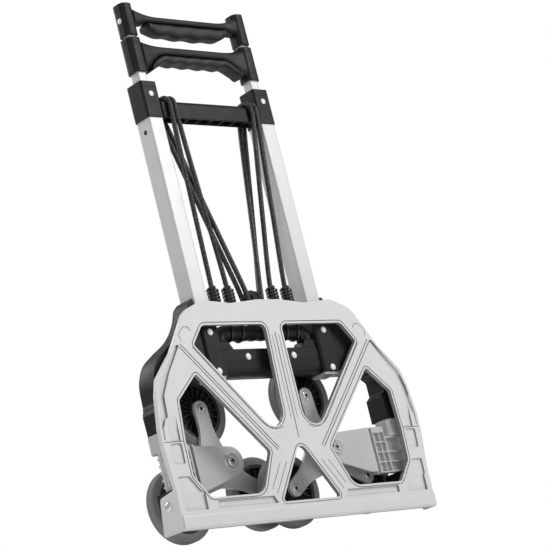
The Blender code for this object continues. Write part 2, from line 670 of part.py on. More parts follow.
def snap_button(name, sign):
    """Spring button that locks the extended handle, pressed in while it is stored."""
    tip = TUBE_X + OUTER_TUBE[0] / 2 - OUTER_WALL - GAP
    shoulder = TUBE_X + MIDDLE_TUBE[0] / 2 - MIDDLE_WALL - GAP
    profile = [(0, tip), (0.0022, tip), (SNAP_BUTTON_R, tip - 0.0010), (SNAP_BUTTON_R, shoulder),
               (0.0050, shoulder), (0.0050, shoulder - 0.0015), (0, shoulder - 0.0015)]
    button = turned(name, profile, "steel", steps=12)
    button.matrix_world = Matrix.Translation((0, TUBE_Y, SNAP_HOLE_Z - HANDLE_TRAVEL)) @ Matrix.Rotation(
        sign * math.pi / 2, 4, "Y")
    return button


# ---------------------------------------------------------------- wheel hinges
def hinge_block(name, side):
    """Knuckle above the bracket's barrel, with a spine down to the foot."""
    sign, x, y = HINGE[side]
    outline = fillet([(sign * BLOCK_X[0], 0.0049, 0.008), (sign * BLOCK_X[1], 0.0049, 0.004),
                      (sign * BLOCK_X[1], 0.0350, 0.006), (sign * BLOCK_X[0], 0.0350, 0.010)])
    block = slab(name, "top", [outline], *KNUCKLE_Z, "grey_plastic")
    fuse(block, blocks("spine", [((sign * SPINE_INNER, 0.0090, FOOT_Z[1] + GAP),
                                  (sign * (BLOCK_X[1] - 0.0005), 0.0330, KNUCKLE_Z[0] + 0.002))]))
    cut(block, rods("knuckle_bore", [("Z", (x, y, KNUCKLE_Z[0] - 0.01), KNUCKLE_Z[1] + 0.01,
                                      HINGE_PIN_R + BORE_PLAY)]))
    return block


def foot(name, side):
    """Holds the hinge pin's lower end and the toe plate's pivot."""
    sign, x, y = HINGE[side]
    reach = 0.0170
    arc = [Vector((PIVOT_Y - reach * math.cos(a), PIVOT_Z - reach * math.sin(a)))
           for a in [math.pi / 2 * k / 6 for k in range(7)]]
    rear = fillet([(0.0365, FOOT_Z[0], 0.003), (0.0365, FOOT_Z[1], 0), (0.0060, FOOT_Z[1], 0),
                   (PIVOT_Y - reach, 0.0450, 0)])
    block = slab(name, "side", [arc + rear], *sorted((sign * FOOT_X[0], sign * FOOT_X[1])), "black_plastic")
    cut(block, rods("pin_socket", [("Z", (x, y, FOOT_Z[1] - PIN_FOOT_DEPTH), FOOT_Z[1] + 0.01,
                                    HINGE_PIN_R + BORE_PLAY)]),
        rods("pivot_bore", [("X", (sign * (FOOT_X[0] + 0.0135), PIVOT_Y, PIVOT_Z), sign * 0.25,
                             PIVOT_PIN_R + BORE_PLAY)]))
    return block


def hinge_pin(name, side):
    _, x, y = HINGE[side]
    return rods(name, [("Z", (x, y, FOOT_Z[1] - PIN_FOOT_DEPTH + GAP), KNUCKLE_Z[1], HINGE_PIN_R)], "steel")


def plate_front(side):
    return HINGE[side][2] + PLATE_OFFSET[side]


def wheel_bracket(name, side):
    """Swinging bracket: a barrel on the hinge pin, a ribbed body and a plate for the cluster."""
    sign, x, y = HINGE[side]
    front = plate_front(side)
    near, far = (y + reach for reach in BODY_REACH[side])
    tip = 0.0205
    nose = [Vector((CLUSTER_X + tip * math.cos(a), CLUSTER_Z + tip * math.sin(a)))
            for a in [math.radians(100 + 17 * k) for k in range(10)]]
    plan = [Vector((0.1530, 0.1240))] + nose + [Vector((0.1400, 0.0600)), Vector((0.1530, 0.0600))]
    plate = slab(name, "front", [[Vector((sign * a, b)) for a, b in plan]], front,
                 front + PLATE_THICK, "grey_plastic")
    axis = abs(x)
    step_x = 0.1840
    shape = [(0.1520, 0.1240), (step_x, 0.1240), (step_x, BARREL_Z[1]), (axis, BARREL_Z[1]),
             (axis, BARREL_Z[0]), (0.1520, BARREL_Z[0])]
    fuse(plate, slab("body", "front", [[Vector((sign * a, b)) for a, b in shape]], near, far))
    if far > BARREL_R + y:
        fuse(plate, blocks("link", [((sign * (axis - 0.009), y, BARREL_Z[0]),
                                     (sign * (axis + 0.0050), far, BARREL_Z[1]))]))
    fuse(plate, rods("barrel", [("Z", (x, y, BARREL_Z[0]), BARREL_Z[1], BARREL_R)], segments=16))
    cells = []
    for column in (0.1605, 0.1760):
        for row in range(3):
            low = 0.0620 + 0.0160 * row
            cells.append(((sign * column, near - 0.001, low), (sign * (column + 0.0130), near + 0.0040,
                                                                low + 0.0135)))
    cut(plate, blocks("cells", cells),
        rods("hinge_bore", [("Z", (x, y, BARREL_Z[0] - 0.01), BARREL_Z[1] + 0.01, HINGE_PIN_R + BORE_PLAY)]),
        rods("cluster_bore", [("Y", (sign * CLUSTER_X, front - 0.01, CLUSTER_Z), front + 0.01,
                               CLUSTER_BOLT_R + BORE_PLAY)], segments=16))
    return plate


# ---------------------------------------------------------------- clusters and wheels
def star_outline():
    """Three arms with round ends, joined by hollow curves."""
    corners = []
    tip, valley = ARM_LENGTH + ARM_HALF, 0.0270
    for k in range(3):
        arm = 2 * math.pi * k / 3
        along, across = Vector((math.cos(arm), math.sin(arm))), Vector((-math.sin(arm), math.cos(arm)))
        for point in (along * tip - across * ARM_HALF, along * tip + across * ARM_HALF):
            corners.append((*point, ARM_HALF))
        between = arm + math.pi / 3
        corners.append((valley * math.cos(between), valley * math.sin(between), 0.030))
    return fillet(corners, 4)


def tri_star(name, side):
    sign = HINGE[side][0]
    arms = plate_front(side) + ARM_SET_BACK[side]
    star = slab(name, "front", [star_outline()], 0, ARM_THICK, "grey_plastic")
    reach = arms - (plate_front(side) + PLATE_THICK + GAP)
    holes = [("Y", (0, -reach - 0.01, 0), ARM_THICK + 0.01, CLUSTER_BOLT_R + BORE_PLAY)]
    holes += [("Y", (ARM_LENGTH * math.cos(a), -0.01, ARM_LENGTH * math.sin(a)), ARM_THICK + 0.01,
               WHEEL_BOLT_R + BORE_PLAY) for a in (2 * math.pi * k / 3 for k in range(3))]
    boss = rods("star_boss", [("Y", (0, -reach, 0), 0.001, STAR_HUB_R)], segments=20)
    bores = rods("star_bores", holes)
    turn = Matrix.Rotation(-CLUSTER_TURN[side], 4, "Y")
    for piece in (star, boss, bores):
        piece.matrix_world = Matrix.Translation((sign * CLUSTER_X, arms, CLUSTER_Z)) @ turn
    fuse(star, boss)
    cut(star, bores)
    return star


def bolt(name, location, shank, lengths, head, nut):
    """Bolt along +Y: head, shank and nut, from the head's front face at the location."""
    head_r, head_t = head
    nut_r, nut_t = nut
    front, back = lengths
    profile = [(0, back + nut_t), (nut_r, back + nut_t), (nut_r, back), (shank, back),
               (shank, front), (head_r, front), (head_r, front - head_t), (0, front - head_t)]
    return turned(name, profile, "steel", location=location, steps=12)


def cluster_bolt(name, side):
    sign = HINGE[side][0]
    front = plate_front(side)
    back = ARM_SET_BACK[side] + ARM_THICK + GAP
    return bolt(name, (sign * CLUSTER_X, front, CLUSTER_Z), CLUSTER_BOLT_R, (-GAP, back),
                CLUSTER_HEAD, CLUSTER_NUT)


def tyre_profile():
    half = WHEEL_WIDTH / 2
    shoulder = TYRE_SHOULDER
    return [(RIM_R, half), (WHEEL_R - shoulder, half), (WHEEL_R, half - shoulder),
            (WHEEL_R, shoulder - half), (WHEEL_R - shoulder, -half), (RIM_R, -half)]


def hub_profile():
    """Dished in front, with a bore for the bolt and a pocket behind for its nut."""
    half, rim, bore = HUB_WIDTH / 2, RIM_R - GAP, WHEEL_BOLT_R + BORE_PLAY + GAP
    return [(rim, half), (rim, -half), (rim - 0.004, -half), (HUB_BOSS_R + 0.002, -0.004),
            (HUB_BOSS_R, -half), (bore, -half), (bore, half - NUT_POCKET),
            (WHEEL_NUT[0] + 0.002, half - NUT_POCKET), (WHEEL_NUT[0] + 0.002, half)]


WHEELS = ("upper", "inner", "outer")


def wheel_angle(side, which):
    """Direction of a wheel's arm in the front view, upper first, then inner and outer."""
    k = WHEELS.index(which)
    if side == "right":
        return CLUSTER_TURN[side] + 2 * math.pi * k / 3
    return CLUSTER_TURN[side] - 2 * math.pi * k / 3


def cluster(side):
    sign = HINGE[side][0]
    arms = plate_front(side) + ARM_SET_BACK[side]
    axle = empty(side + "_cluster_axis", (sign * CLUSTER_X, arms, CLUSTER_Z))
    hang(axle, tri_star(side + "_tri_star", side))
    middle = arms + ARM_THICK + WHEEL_SET_BACK + WHEEL_WIDTH / 2
    for which in WHEELS:
        turn = wheel_angle(side, which)
        x = sign * CLUSTER_X + ARM_LENGTH * math.cos(turn)
        z = CLUSTER_Z + ARM_LENGTH * math.sin(turn)
        label = side + "_" + which
        nut_seat = middle + HUB_WIDTH / 2 - NUT_POCKET + GAP - arms
        axis = empty(label + "_wheel_axis", (x, middle, z))
        hang(axis, turned(label + "_tyre", tyre_profile(), "tyre", location=(x, middle, z), closed=True),
             turned(label + "_hub", hub_profile(), "hub_plastic", location=(x, middle, z), closed=True))
        hang(axle, axis, bolt(label + "_wheel_bolt", (x, arms, z), WHEEL_BOLT_R, (-GAP, nut_seat),
                              WHEEL_HEAD, WHEEL_NUT))
    return axle


# ---------------------------------------------------------------- assembly
toe_axis = empty("toe_axis", (0, PIVOT_Y, PIVOT_Z))
hang(toe_axis, toe_plate(), toe_pivot("left_toe_pivot", -1), toe_pivot("right_toe_pivot", 1))

lower_stage = empty("lower_stage", (0, TUBE_Y, LOWER_CAP_Z[0]))
upper_stage = empty("upper_stage", (0, TUBE_Y, UPPER_CAP_Z[0]))
base_crossbeam()
yoke()
carry_handle()
cord("outer_bungee_cord", OUTER_ROUTE)
cord("inner_bungee_cord", INNER_ROUTE)
cord_anchor()
for label, x in (("left_outer", -0.070), ("left_inner", -0.042), ("right_inner", 0.042),
                 ("right_outer", 0.070)):
    cord_hook(label + "_hook", x)

for side, (sign, hinge_x, hinge_y) in HINGE.items():
    outer_tube(side + "_outer_tube", sign)
    side_arm(side + "_side_arm", sign)
    yoke_rivet(side + "_yoke_rivet", sign)
    hinge_block(side + "_hinge_block", side)
    foot(side + "_foot", side)
    hinge_pin(side + "_hinge_pin", side)
    hinge = empty(side + "_wheel_hinge", (hinge_x, hinge_y, BARREL_Z[0]))
    hang(hinge, wheel_bracket(side + "_wheel_bracket", side), cluster_bolt(side + "_cluster_bolt", side),
         cluster(side))
    hang(lower_stage, middle_tube(side + "_middle_tube", sign), snap_button(side + "_snap_button", sign))
    hang(upper_stage, square_tube(side + "_inner_tube", sign, INNER_TUBE, INNER_WALL, INNER_TUBE_Z))

hang(lower_stage,
     handle("lower_handle", LOWER_CAP, LOWER_CAP_Z, LOWER_BAR_TOP, 0.007, lower_line, LOWER_GRIP_HALF,
            MIDDLE_TUBE, MIDDLE_TUBE_Z[1], INNER_TUBE),
     grip("lower_grip", lower_line, LOWER_GRIP_HALF - 0.002, 0.0125, 6))
hang(upper_stage,
     handle("upper_handle", UPPER_CAP, UPPER_CAP_Z, UPPER_BAR_TOP, 0.010, upper_line, 0.090,
            INNER_TUBE, INNER_TUBE_Z[1], None),
     grip("upper_grip", upper_line, UPPER_GRIP_HALF, UPPER_SEAM_Z - UPPER_GRIP_BOTTOM, 4))
hang(lower_stage, upper_stage)
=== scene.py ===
"""Looks of the folding stair-climbing hand truck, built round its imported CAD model."""
import json
import math

import bmesh
import bpy
from mathutils import Matrix, Vector


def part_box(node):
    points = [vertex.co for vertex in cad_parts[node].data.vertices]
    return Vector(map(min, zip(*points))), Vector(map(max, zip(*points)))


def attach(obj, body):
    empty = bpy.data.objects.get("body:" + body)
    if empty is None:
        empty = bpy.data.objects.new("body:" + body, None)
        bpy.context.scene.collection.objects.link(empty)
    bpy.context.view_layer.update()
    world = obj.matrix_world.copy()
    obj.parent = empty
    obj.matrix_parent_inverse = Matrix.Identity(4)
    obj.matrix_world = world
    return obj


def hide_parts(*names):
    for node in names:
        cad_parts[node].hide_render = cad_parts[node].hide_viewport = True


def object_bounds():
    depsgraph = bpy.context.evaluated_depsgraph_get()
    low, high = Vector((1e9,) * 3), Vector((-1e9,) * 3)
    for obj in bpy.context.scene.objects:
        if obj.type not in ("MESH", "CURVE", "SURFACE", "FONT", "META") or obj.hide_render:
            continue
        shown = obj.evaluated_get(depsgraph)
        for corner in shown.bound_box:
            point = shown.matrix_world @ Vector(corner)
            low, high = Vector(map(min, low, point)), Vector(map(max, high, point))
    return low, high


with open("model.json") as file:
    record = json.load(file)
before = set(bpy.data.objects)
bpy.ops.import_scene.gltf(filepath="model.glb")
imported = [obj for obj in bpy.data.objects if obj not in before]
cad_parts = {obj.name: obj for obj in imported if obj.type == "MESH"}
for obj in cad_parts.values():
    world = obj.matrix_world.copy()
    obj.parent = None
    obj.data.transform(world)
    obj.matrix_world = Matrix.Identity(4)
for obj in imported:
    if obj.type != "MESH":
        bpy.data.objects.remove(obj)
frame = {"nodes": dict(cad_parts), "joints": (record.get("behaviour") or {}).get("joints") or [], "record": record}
CAD_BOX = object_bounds()
NODES = frame["nodes"]
SIDES = {"left": -1, "right": 1}
WHEELS = ("upper", "inner", "outer")
TOE_EDGE = next(mount for mount in frame["record"]["mounts"] if mount["name"] == "toe_edge")
LEAN = Matrix.Rotation(math.atan2(TOE_EDGE["axis"][1], -TOE_EDGE["axis"][2]), 4, "X")
JOINTS = {joint["name"]: joint for joint in frame["joints"]}
PIN_HOLE_R, BOLT_HOLE_R = 0.0033, 0.0053


class Box:
    """Lowest and highest corner, middle and size of a CAD node at rest."""

    def __init__(self, node):
        self.low, self.high = (Vector(corner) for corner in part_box(node))
        self.mid = (self.low + self.high) / 2
        self.size = self.high - self.low


# ---------------------------------------------------------------- camera
def camera():
    """Low in front of the truck's left, looking up at it, slightly rolled."""
    ahead = Vector((0.6945, 0.6750, 0.2490)).normalized()
    level = Vector((0.6970, -0.7171, 0.0)).normalized()
    upright = level.cross(ahead)
    right = 0.9691 * level - 0.2467 * upright
    up = right.cross(ahead)
    view = bpy.data.objects.new("camera", bpy.data.cameras.new("camera"))
    view.data.lens = 154.9
    view.data.sensor_width = 36.0
    view.data.clip_end = 50.0
    turn = Matrix((right, up, -ahead)).transposed()
    view.matrix_world = Matrix.Translation((-2.2565, -2.2329, -0.4738)) @ turn.to_4x4()
    bpy.context.scene.collection.objects.link(view)
    bpy.context.scene.camera = view


# ---------------------------------------------------------------- node materials
def wire(tree, kind, inputs=(), **settings):
    """A new shader node, with its inputs given as (name or number, value or output)."""
    node = tree.nodes.new("ShaderNode" + kind)
    for key, value in settings.items():
        setattr(node, key, value)
    for key, value in inputs:
        if isinstance(value, bpy.types.NodeSocket):
            tree.links.new(value, node.inputs[key])
        else:
            node.inputs[key].default_value = value
    return node


def noise(tree, place, scale, detail, roughness=0.5):
    return wire(tree, "TexNoise", [("Vector", place), ("Scale", scale), ("Detail", detail),
                                   ("Roughness", roughness)]).outputs["Fac"]


def span(tree, value, low, high, to_low, to_high):
    return wire(tree, "MapRange", [("Value", value), ("From Min", low), ("From Max", high),
                                   ("To Min", to_low), ("To Max", to_high)]).outputs["Result"]


def math_node(tree, operation, *inputs):
    return wire(tree, "Math", enumerate(inputs), operation=operation).outputs["Value"]


def blend(tree, factor, first, second):
    """The first colour where the factor is 0, the second where it is 1."""
    node = wire(tree, "Mix", data_type="RGBA")
    for key, value in (("Factor_Float", factor), ("A_Color", first), ("B_Color", second)):
        socket = next(s for s in node.inputs if s.identifier == key)
        if isinstance(value, bpy.types.NodeSocket):
            tree.links.new(value, socket)
        else:
            socket.default_value = value
    return next(s for s in node.outputs if s.identifier == "Result_Color")


def tone(color, share):
    """A colour made lighter or darker by a share."""
    return (*[min(1.0, part * share) for part in color], 1.0)


def surface(name, color, roughness, metallic=0.0, grain=900.0, relief=0.12, mottle=0.06, spread=0.07,
            scuff_and_highlight_tone=1.25, scuff_and_highlight_share=0.35, edge=0.0005, stretch=(1, 1, 1), fleck=None, **shell):
    """A satin or dull finish: fine grain, drifting tone and gloss, and edges made lighter, partly as scuffing and
    partly as a painted highlight.

    A fleck is (cells per metre, how many times lighter); shell holds the shader's further inputs.
    """
    made = bpy.data.materials.new(name)
    made.use_nodes = True
    tree = made.node_tree
    shader = tree.nodes["Principled BSDF"]
    place = wire(tree, "TexCoord").outputs["Object"]
    drawn = wire(tree, "Mapping", [("Vector", place), ("Scale", stretch)]).outputs["Vector"]
    patches = noise(tree, place, 22.0, 5.0, 0.6)
    specks = noise(tree, drawn, grain, 2.0)
    drift = span(tree, patches, 0.3, 0.7, 0.0, 1.0)
    tint = blend(tree, drift, tone(color, 1 - mottle), tone(color, 1 + mottle))
    tint = blend(tree, span(tree, specks, 0.35, 0.75, 0.0, 0.35), tint, tone(color, 1 - 2 * mottle))
    # lighter flecks painted into the colour; on the braided cord they are painted sheen
    if fleck:
        scale, level = fleck
        cells = wire(tree, "TexVoronoi", [("Vector", place), ("Scale", scale)]).outputs["Color"]
        picked = wire(tree, "SeparateColor", [("Color", cells)]).outputs[0]
        tint = blend(tree, span(tree, picked, 0.62, 0.90, 0.0, 1.0), tint, tone(color, level))
    rounded = wire(tree, "Bevel", [("Radius", edge)], samples=4).outputs["Normal"]
    flat = wire(tree, "NewGeometry").outputs["Normal"]
    facing = wire(tree, "VectorMath", [(0, rounded), (1, flat)], operation="DOT_PRODUCT").outputs["Value"]
    # lighter edges where the bevel normal turns away from the flat one: partly scuffing, partly a painted
    # highlight
    scuffed_and_highlit = span(tree, facing, 0.995, 0.90, 0.0, scuff_and_highlight_share)
    gaps = span(tree, noise(tree, place, 160.0, 4.0), 0.35, 0.65, 0.2, 1.0)
    broken = math_node(tree, "MULTIPLY", scuffed_and_highlit, gaps)
    tree.links.new(blend(tree, broken, tint, tone(color, scuff_and_highlight_tone)), shader.inputs["Base Color"])
    gloss = span(tree, noise(tree, place, 60.0, 4.0), 0.25, 0.75, roughness - spread, roughness + spread)
    tree.links.new(gloss, shader.inputs["Roughness"])
    bump = wire(tree, "Bump", [("Strength", relief), ("Distance", 0.0004), ("Height", specks),
                               ("Normal", rounded)])
    tree.links.new(bump.outputs["Normal"], shader.inputs["Normal"])
    shader.inputs["Metallic"].default_value = metallic
    for key, value in shell.items():
        shader.inputs[key.replace("_", " ")].default_value = value
    return made


# x + CORNER_SLOPE * z is level along the toe plate's sloped upper corners
CORNER_SLOPE = 0.785


def shade_walls(material, shade):
    """Paints shade into the upright walls inside the toe plate's windows, grooves and recesses, not its outer
    edge.
    """
    tree = material.node_tree
    shader = tree.nodes["Principled BSDF"]
    coordinates = wire(tree, "TexCoord")
    spot = wire(tree, "SeparateXYZ", [("Vector", coordinates.outputs["Object"])])
    normal = wire(tree, "SeparateXYZ", [("Vector", coordinates.outputs["Normal"])])
    across = math_node(tree, "ABSOLUTE", spot.outputs["X"])
    height = spot.outputs["Z"]
    slope = math_node(tree, "MULTIPLY_ADD", height, CORNER_SLOPE, across)
    inside = span(tree, math_node(tree, "ABSOLUTE", normal.outputs["Y"]), 0.55, 0.80, 1.0, 0.0)
    # (value, where the shade ends, where it is full)
    for value, end, full in ((across, 0.2370, 0.2360), (slope, 0.3820, 0.3800), (height, 0.291, 0.290),
                             (height, 0.0230, 0.0250)):
        inside = math_node(tree, "MULTIPLY", inside, span(tree, value, end, full, 0.0, 1.0))
    color = shader.inputs["Base Color"].links[0].from_socket
    tree.links.new(blend(tree, inside, color, shade), shader.inputs["Base Color"])
    return material


# each material's lighter edges are partly scuffing, partly a painted highlight
MATERIALS = {
    # silver paint with painted shade, the dark colour below, on the walls inside its windows, grooves and recesses
    "silver_plastic": shade_walls(
        surface("silver_paint", (0.68, 0.68, 0.675), 0.40, grain=2200.0, relief=0.05, mottle=0.02,
                scuff_and_highlight_tone=1.15, scuff_and_highlight_share=0.25, Coat_Weight=0.15, Coat_Roughness=0.3), (0.24, 0.24, 0.238, 1)),
    "grey_plastic": surface("grey_paint", (0.53, 0.53, 0.526), 0.38, 0.2, grain=1800.0, relief=0.06,
                            mottle=0.04, scuff_and_highlight_tone=1.8, scuff_and_highlight_share=0.9, edge=0.0008, Coat_Weight=0.1,
                            Coat_Roughness=0.3),
    "black_plastic": surface("black_moulding", (0.0080, 0.0080, 0.0090), 0.46, grain=1300.0,
                             relief=0.16, mottle=0.10, scuff_and_highlight_tone=2.6, scuff_and_highlight_share=0.30, Specular_IOR_Level=0.27),
    "grip_rubber": surface("grip_rubber", (0.011, 0.011, 0.012), 0.52, relief=0.22, mottle=0.12,
                           scuff_and_highlight_tone=1.9, scuff_and_highlight_share=0.2, Specular_IOR_Level=0.4),
    "hub_plastic": surface("hub_moulding", (0.012, 0.012, 0.013), 0.38, grain=1200.0, mottle=0.12,
                           scuff_and_highlight_tone=4.0, scuff_and_highlight_share=0.45),
    "tyre": surface("tyre_rubber", (0.205, 0.193, 0.186), 0.70, grain=1500.0, relief=0.25,
                    mottle=0.09, scuff_and_highlight_tone=1.35, scuff_and_highlight_share=0.4),
    "aluminium": surface("satin_aluminium", (0.63, 0.63, 0.63), 0.42, 0.35, grain=1.0, relief=0.03,
                         mottle=0.02, scuff_and_highlight_tone=1.1, scuff_and_highlight_share=0.3, edge=0.0004, stretch=(2600, 2600, 18)),
    "steel": surface("plated_steel", (0.78, 0.78, 0.77), 0.24, 0.9, grain=1500.0, relief=0.03,
                     mottle=0.03, scuff_and_highlight_tone=1.1, scuff_and_highlight_share=0.2, edge=0.0002),
    # the cord's lighter flecks are painted sheen on its braid
    "cord": surface("braided_cord", (0.008, 0.008, 0.008), 0.40, grain=2600.0, relief=0.5,
                    mottle=0.25, scuff_and_highlight_tone=1.5, scuff_and_highlight_share=0.0, edge=0.0001, fleck=(760.0, 9.0),
                    Specular_IOR_Level=0.5),
}
# paints that share a slot with one of the materials above
WIRE_COATING = surface("coated_wire", (0.0080, 0.0080, 0.0090), 0.20, grain=1500.0, relief=0.03,
                       mottle=0.04, scuff_and_highlight_tone=1.5, scuff_and_highlight_share=0.2, edge=0.0003, Specular_IOR_Level=0.7)
# metal rivet heads coloured near-white: their bright reflection painted into the colour, a painted highlight
RIVET_PAINTED_HIGHLIGHT = surface("rivet_painted_highlight", (0.86, 0.86, 0.85), 0.30, 0.1, grain=1600.0, relief=0.03,
                      mottle=0.02, scuff_and_highlight_tone=1.05, scuff_and_highlight_share=0.2, edge=0.0002)


# ---------------------------------------------------------------- mesh helpers
def put_in_scene(mesh, name="tool", matrix=None):
    thing = bpy.data.objects.new(name, mesh)
    bpy.context.scene.collection.objects.link(thing)
    if matrix is not None:
        thing.matrix_world = matrix
    return thing


def from_bmesh(shape, name="tool", matrix=None):
    mesh = bpy.data.meshes.new(name)
    shape.to_mesh(mesh)
    shape.free()
    return put_in_scene(mesh, name, matrix)


def bake(thing):
    """Applies the modifiers and the object's matrix, so that the mesh alone holds the shape."""
    bpy.context.view_layer.update()
    mesh = bpy.data.meshes.new_from_object(thing.evaluated_get(bpy.context.evaluated_depsgraph_get()))
    mesh.transform(thing.matrix_world)
    thing.modifiers.clear()
    thing.data = mesh
    thing.matrix_world = Matrix.Identity(4)
    return thing


def combine(target, operation, *tools):
    """Applies one exact Boolean per tool, in turn, and removes the tools."""
    for tool in tools:
        step = target.modifiers.new("combine", "BOOLEAN")
        step.operation = operation
        step.solver = "EXACT"
        step.object = tool
    bake(target)
    for tool in tools:
        bpy.data.objects.remove(tool)
    return target


def cut(target, *tools):
    return combine(target, "DIFFERENCE", *tools)


def fuse(target, *tools):
    return combine(target, "UNION", *tools)


def soften(target, width, segments=3, angle=50):
    """Rounds the sharp edges of a shape."""
    step = target.modifiers.new("soften", "BEVEL")
    step.width = width
    step.segments = segments
    step.limit_method = "ANGLE"
    step.angle_limit = math.radians(angle)
    return bake(target)


def piece(thing, name, body, slot, *nodes, angle=32, paint=None):
    """Finishes a piece: its name, shading and material, the body it rides on, and hides the CAD nodes that it
    stands for.
    """
    bake(thing)
    thing.name = name
    thing.data.name = name
    thing.data.materials.clear()
    thing.data.materials.append(paint or MATERIALS[slot])
    thing.data.shade_smooth()
    thing.data.set_sharp_from_angle(angle=math.radians(angle))
    step = thing.modifiers.new("weighted", "WEIGHTED_NORMAL")
    step.keep_sharp = True
    bake(thing)
    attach(thing, body)
    if nodes:
        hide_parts(*nodes)
    return thing


def joined(*things):
    """One mesh of several closed shapes that don't touch."""
    shape = bmesh.new()
    for thing in things:
        bake(thing)
        shape.from_mesh(thing.data)
        bpy.data.objects.remove(thing)
    return from_bmesh(shape)


def polar(radius, angle):
    return radius * math.cos(angle), radius * math.sin(angle)


def sided(corners, sign):
    """The corners (x, z, radius) of a right-hand outline, mirrored to the left if the sign is -1."""
    return [(sign * x, z, radius) for x, z, radius in corners]


def fillet(corners, steps=6):
    """A closed outline through corners (x, y, radius), each rounded by an arc."""
    outline = []
    for i, (x, y, radius) in enumerate(corners):
        here = Vector((x, y))
        back = Vector(corners[i - 1][:2]) - here
        ahead = Vector(corners[(i + 1) % len(corners)][:2]) - here
        if radius <= 0:
            outline.append(here)
            continue
        half = back.angle(ahead) / 2
        reach = min(radius / math.tan(half), 0.49 * back.length, 0.49 * ahead.length)
        radius = reach * math.tan(half)
        back.normalize()
        ahead.normalize()
        centre = here + (back + ahead).normalized() * (radius / math.sin(half))
        first = here + back * reach - centre
        turn = first.angle_signed(here + ahead * reach - centre)
        for k in range(steps + 1):
            arm = first.copy()
            arm.rotate(Matrix.Rotation(-turn * k / steps, 2))
            outline.append(centre + arm)
    return outline


def grown(corners, by):
    """The corners (x, y, radius) of an outline moved outwards by a distance, or inwards if negative."""
    area = sum(a[0] * b[1] - b[0] * a[1] for a, b in zip(corners, corners[1:] + corners[:1]))
    way = 1 if area > 0 else -1
    moved = []
    for i, (x, y, radius) in enumerate(corners):
        here = Vector((x, y))
        arrive = (here - Vector(corners[i - 1][:2])).normalized()
        leave = (Vector(corners[(i + 1) % len(corners)][:2]) - here).normalized()
        normal = Vector((arrive.y, -arrive.x)) * way + Vector((leave.y, -leave.x)) * way
        scale = by / max(0.3, 0.5 * normal.length_squared)
        bend = (arrive.x * leave.y - arrive.y * leave.x) * way
        moved.append((*(here + normal * scale), max(0.0004, radius + (by if bend > 0 else -by))))
    return moved


def strip(points, width):
    """The outline of a line of a given width through points."""
    points = [Vector(p) for p in points]
    left, right = [], []
    for i, point in enumerate(points):
        arrive = (point - points[i - 1]).normalized() if i else (points[1] - point).normalized()
        leave = (points[i + 1] - point).normalized() if i < len(points) - 1 else arrive
        along = (arrive + leave).normalized()
        across = Vector((-along.y, along.x)) * (width / 2 / max(0.4, along.dot(arrive)))
        left.append(point + across)
        right.append(point - across)
    return left + right[::-1]


def flipped(outline):
    """The mirror image of an outline (x, z)."""
    return [Vector((-p[0], p[1])) for p in outline]


def rectangle(width, depth, centre, radius, steps=4):
    x, y = width / 2, depth / 2
    corners = [(-x, -y), (x, -y), (x, y), (-x, y)]
    return fillet([(centre[0] + a, centre[1] + b, radius) for a, b in corners], steps)


# where an outline's two axes point, and the axis that it is thickened along
FACING = {
    "front": Matrix(((1, 0, 0, 0), (0, 0, -1, 0), (0, 1, 0, 0), (0, 0, 0, 1))),
    "side": Matrix(((0, 0, 1, 0), (1, 0, 0, 0), (0, 1, 0, 0), (0, 0, 0, 1))),
    "top": Matrix.Identity(4),
}


def slab(facing, loops, low, high):
    """A flat outline, with any holes as further loops, thickened from low to high."""
    curve = bpy.data.curves.new("outline", "CURVE")
    curve.dimensions = "2D"
    curve.fill_mode = "BOTH"
    curve.extrude = abs(high - low) / 2
    for loop in loops:
        spline = curve.splines.new("POLY")
        spline.points.add(len(loop) - 1)
        for point, (x, y) in zip(spline.points, loop):
            point.co = (x, y, 0, 1)
        spline.use_cyclic_u = True
    guide = put_in_scene(curve)
    bpy.context.view_layer.update()
    mesh = bpy.data.meshes.new_from_object(guide.evaluated_get(bpy.context.evaluated_depsgraph_get()))
    bpy.data.objects.remove(guide)
    shape = bmesh.new()
    shape.from_mesh(mesh)
    bmesh.ops.remove_doubles(shape, verts=shape.verts, dist=1e-6)
    middle = (low + high) / 2
    axis = {"front": (0, middle, 0), "side": (middle, 0, 0), "top": (0, 0, middle)}[facing]
    bmesh.ops.transform(shape, matrix=Matrix.Translation(axis) @ FACING[facing], verts=shape.verts)
    return from_bmesh(shape)


def blocks(*boxes):
    """Boxes, each given by two opposite corners."""
    shape = bmesh.new()
    for first, second in boxes:
        low = Vector([min(pair) for pair in zip(first, second)])
        high = Vector([max(pair) for pair in zip(first, second)])
        bmesh.ops.create_cube(shape, size=1.0, matrix=Matrix.Translation((low + high) / 2)
                              @ Matrix.Diagonal((*(high - low), 1)))
    return from_bmesh(shape)


def side_block(sign, first, second):
    """A box given by two opposite corners on the right, mirrored to the left if the sign is -1."""
    return blocks([(sign * x, y, z) for x, y, z in (first, second)])


AIM = {"X": Matrix.Rotation(math.pi / 2, 4, "Y"), "-X": Matrix.Rotation(-math.pi / 2, 4, "Y"),
       "Y": Matrix.Rotation(-math.pi / 2, 4, "X"), "-Y": Matrix.Rotation(math.pi / 2, 4, "X"),
       "Z": Matrix.Identity(4), "-Z": Matrix.Rotation(math.pi, 4, "X")}
OUTWARD = {-1: "-X", 1: "X"}


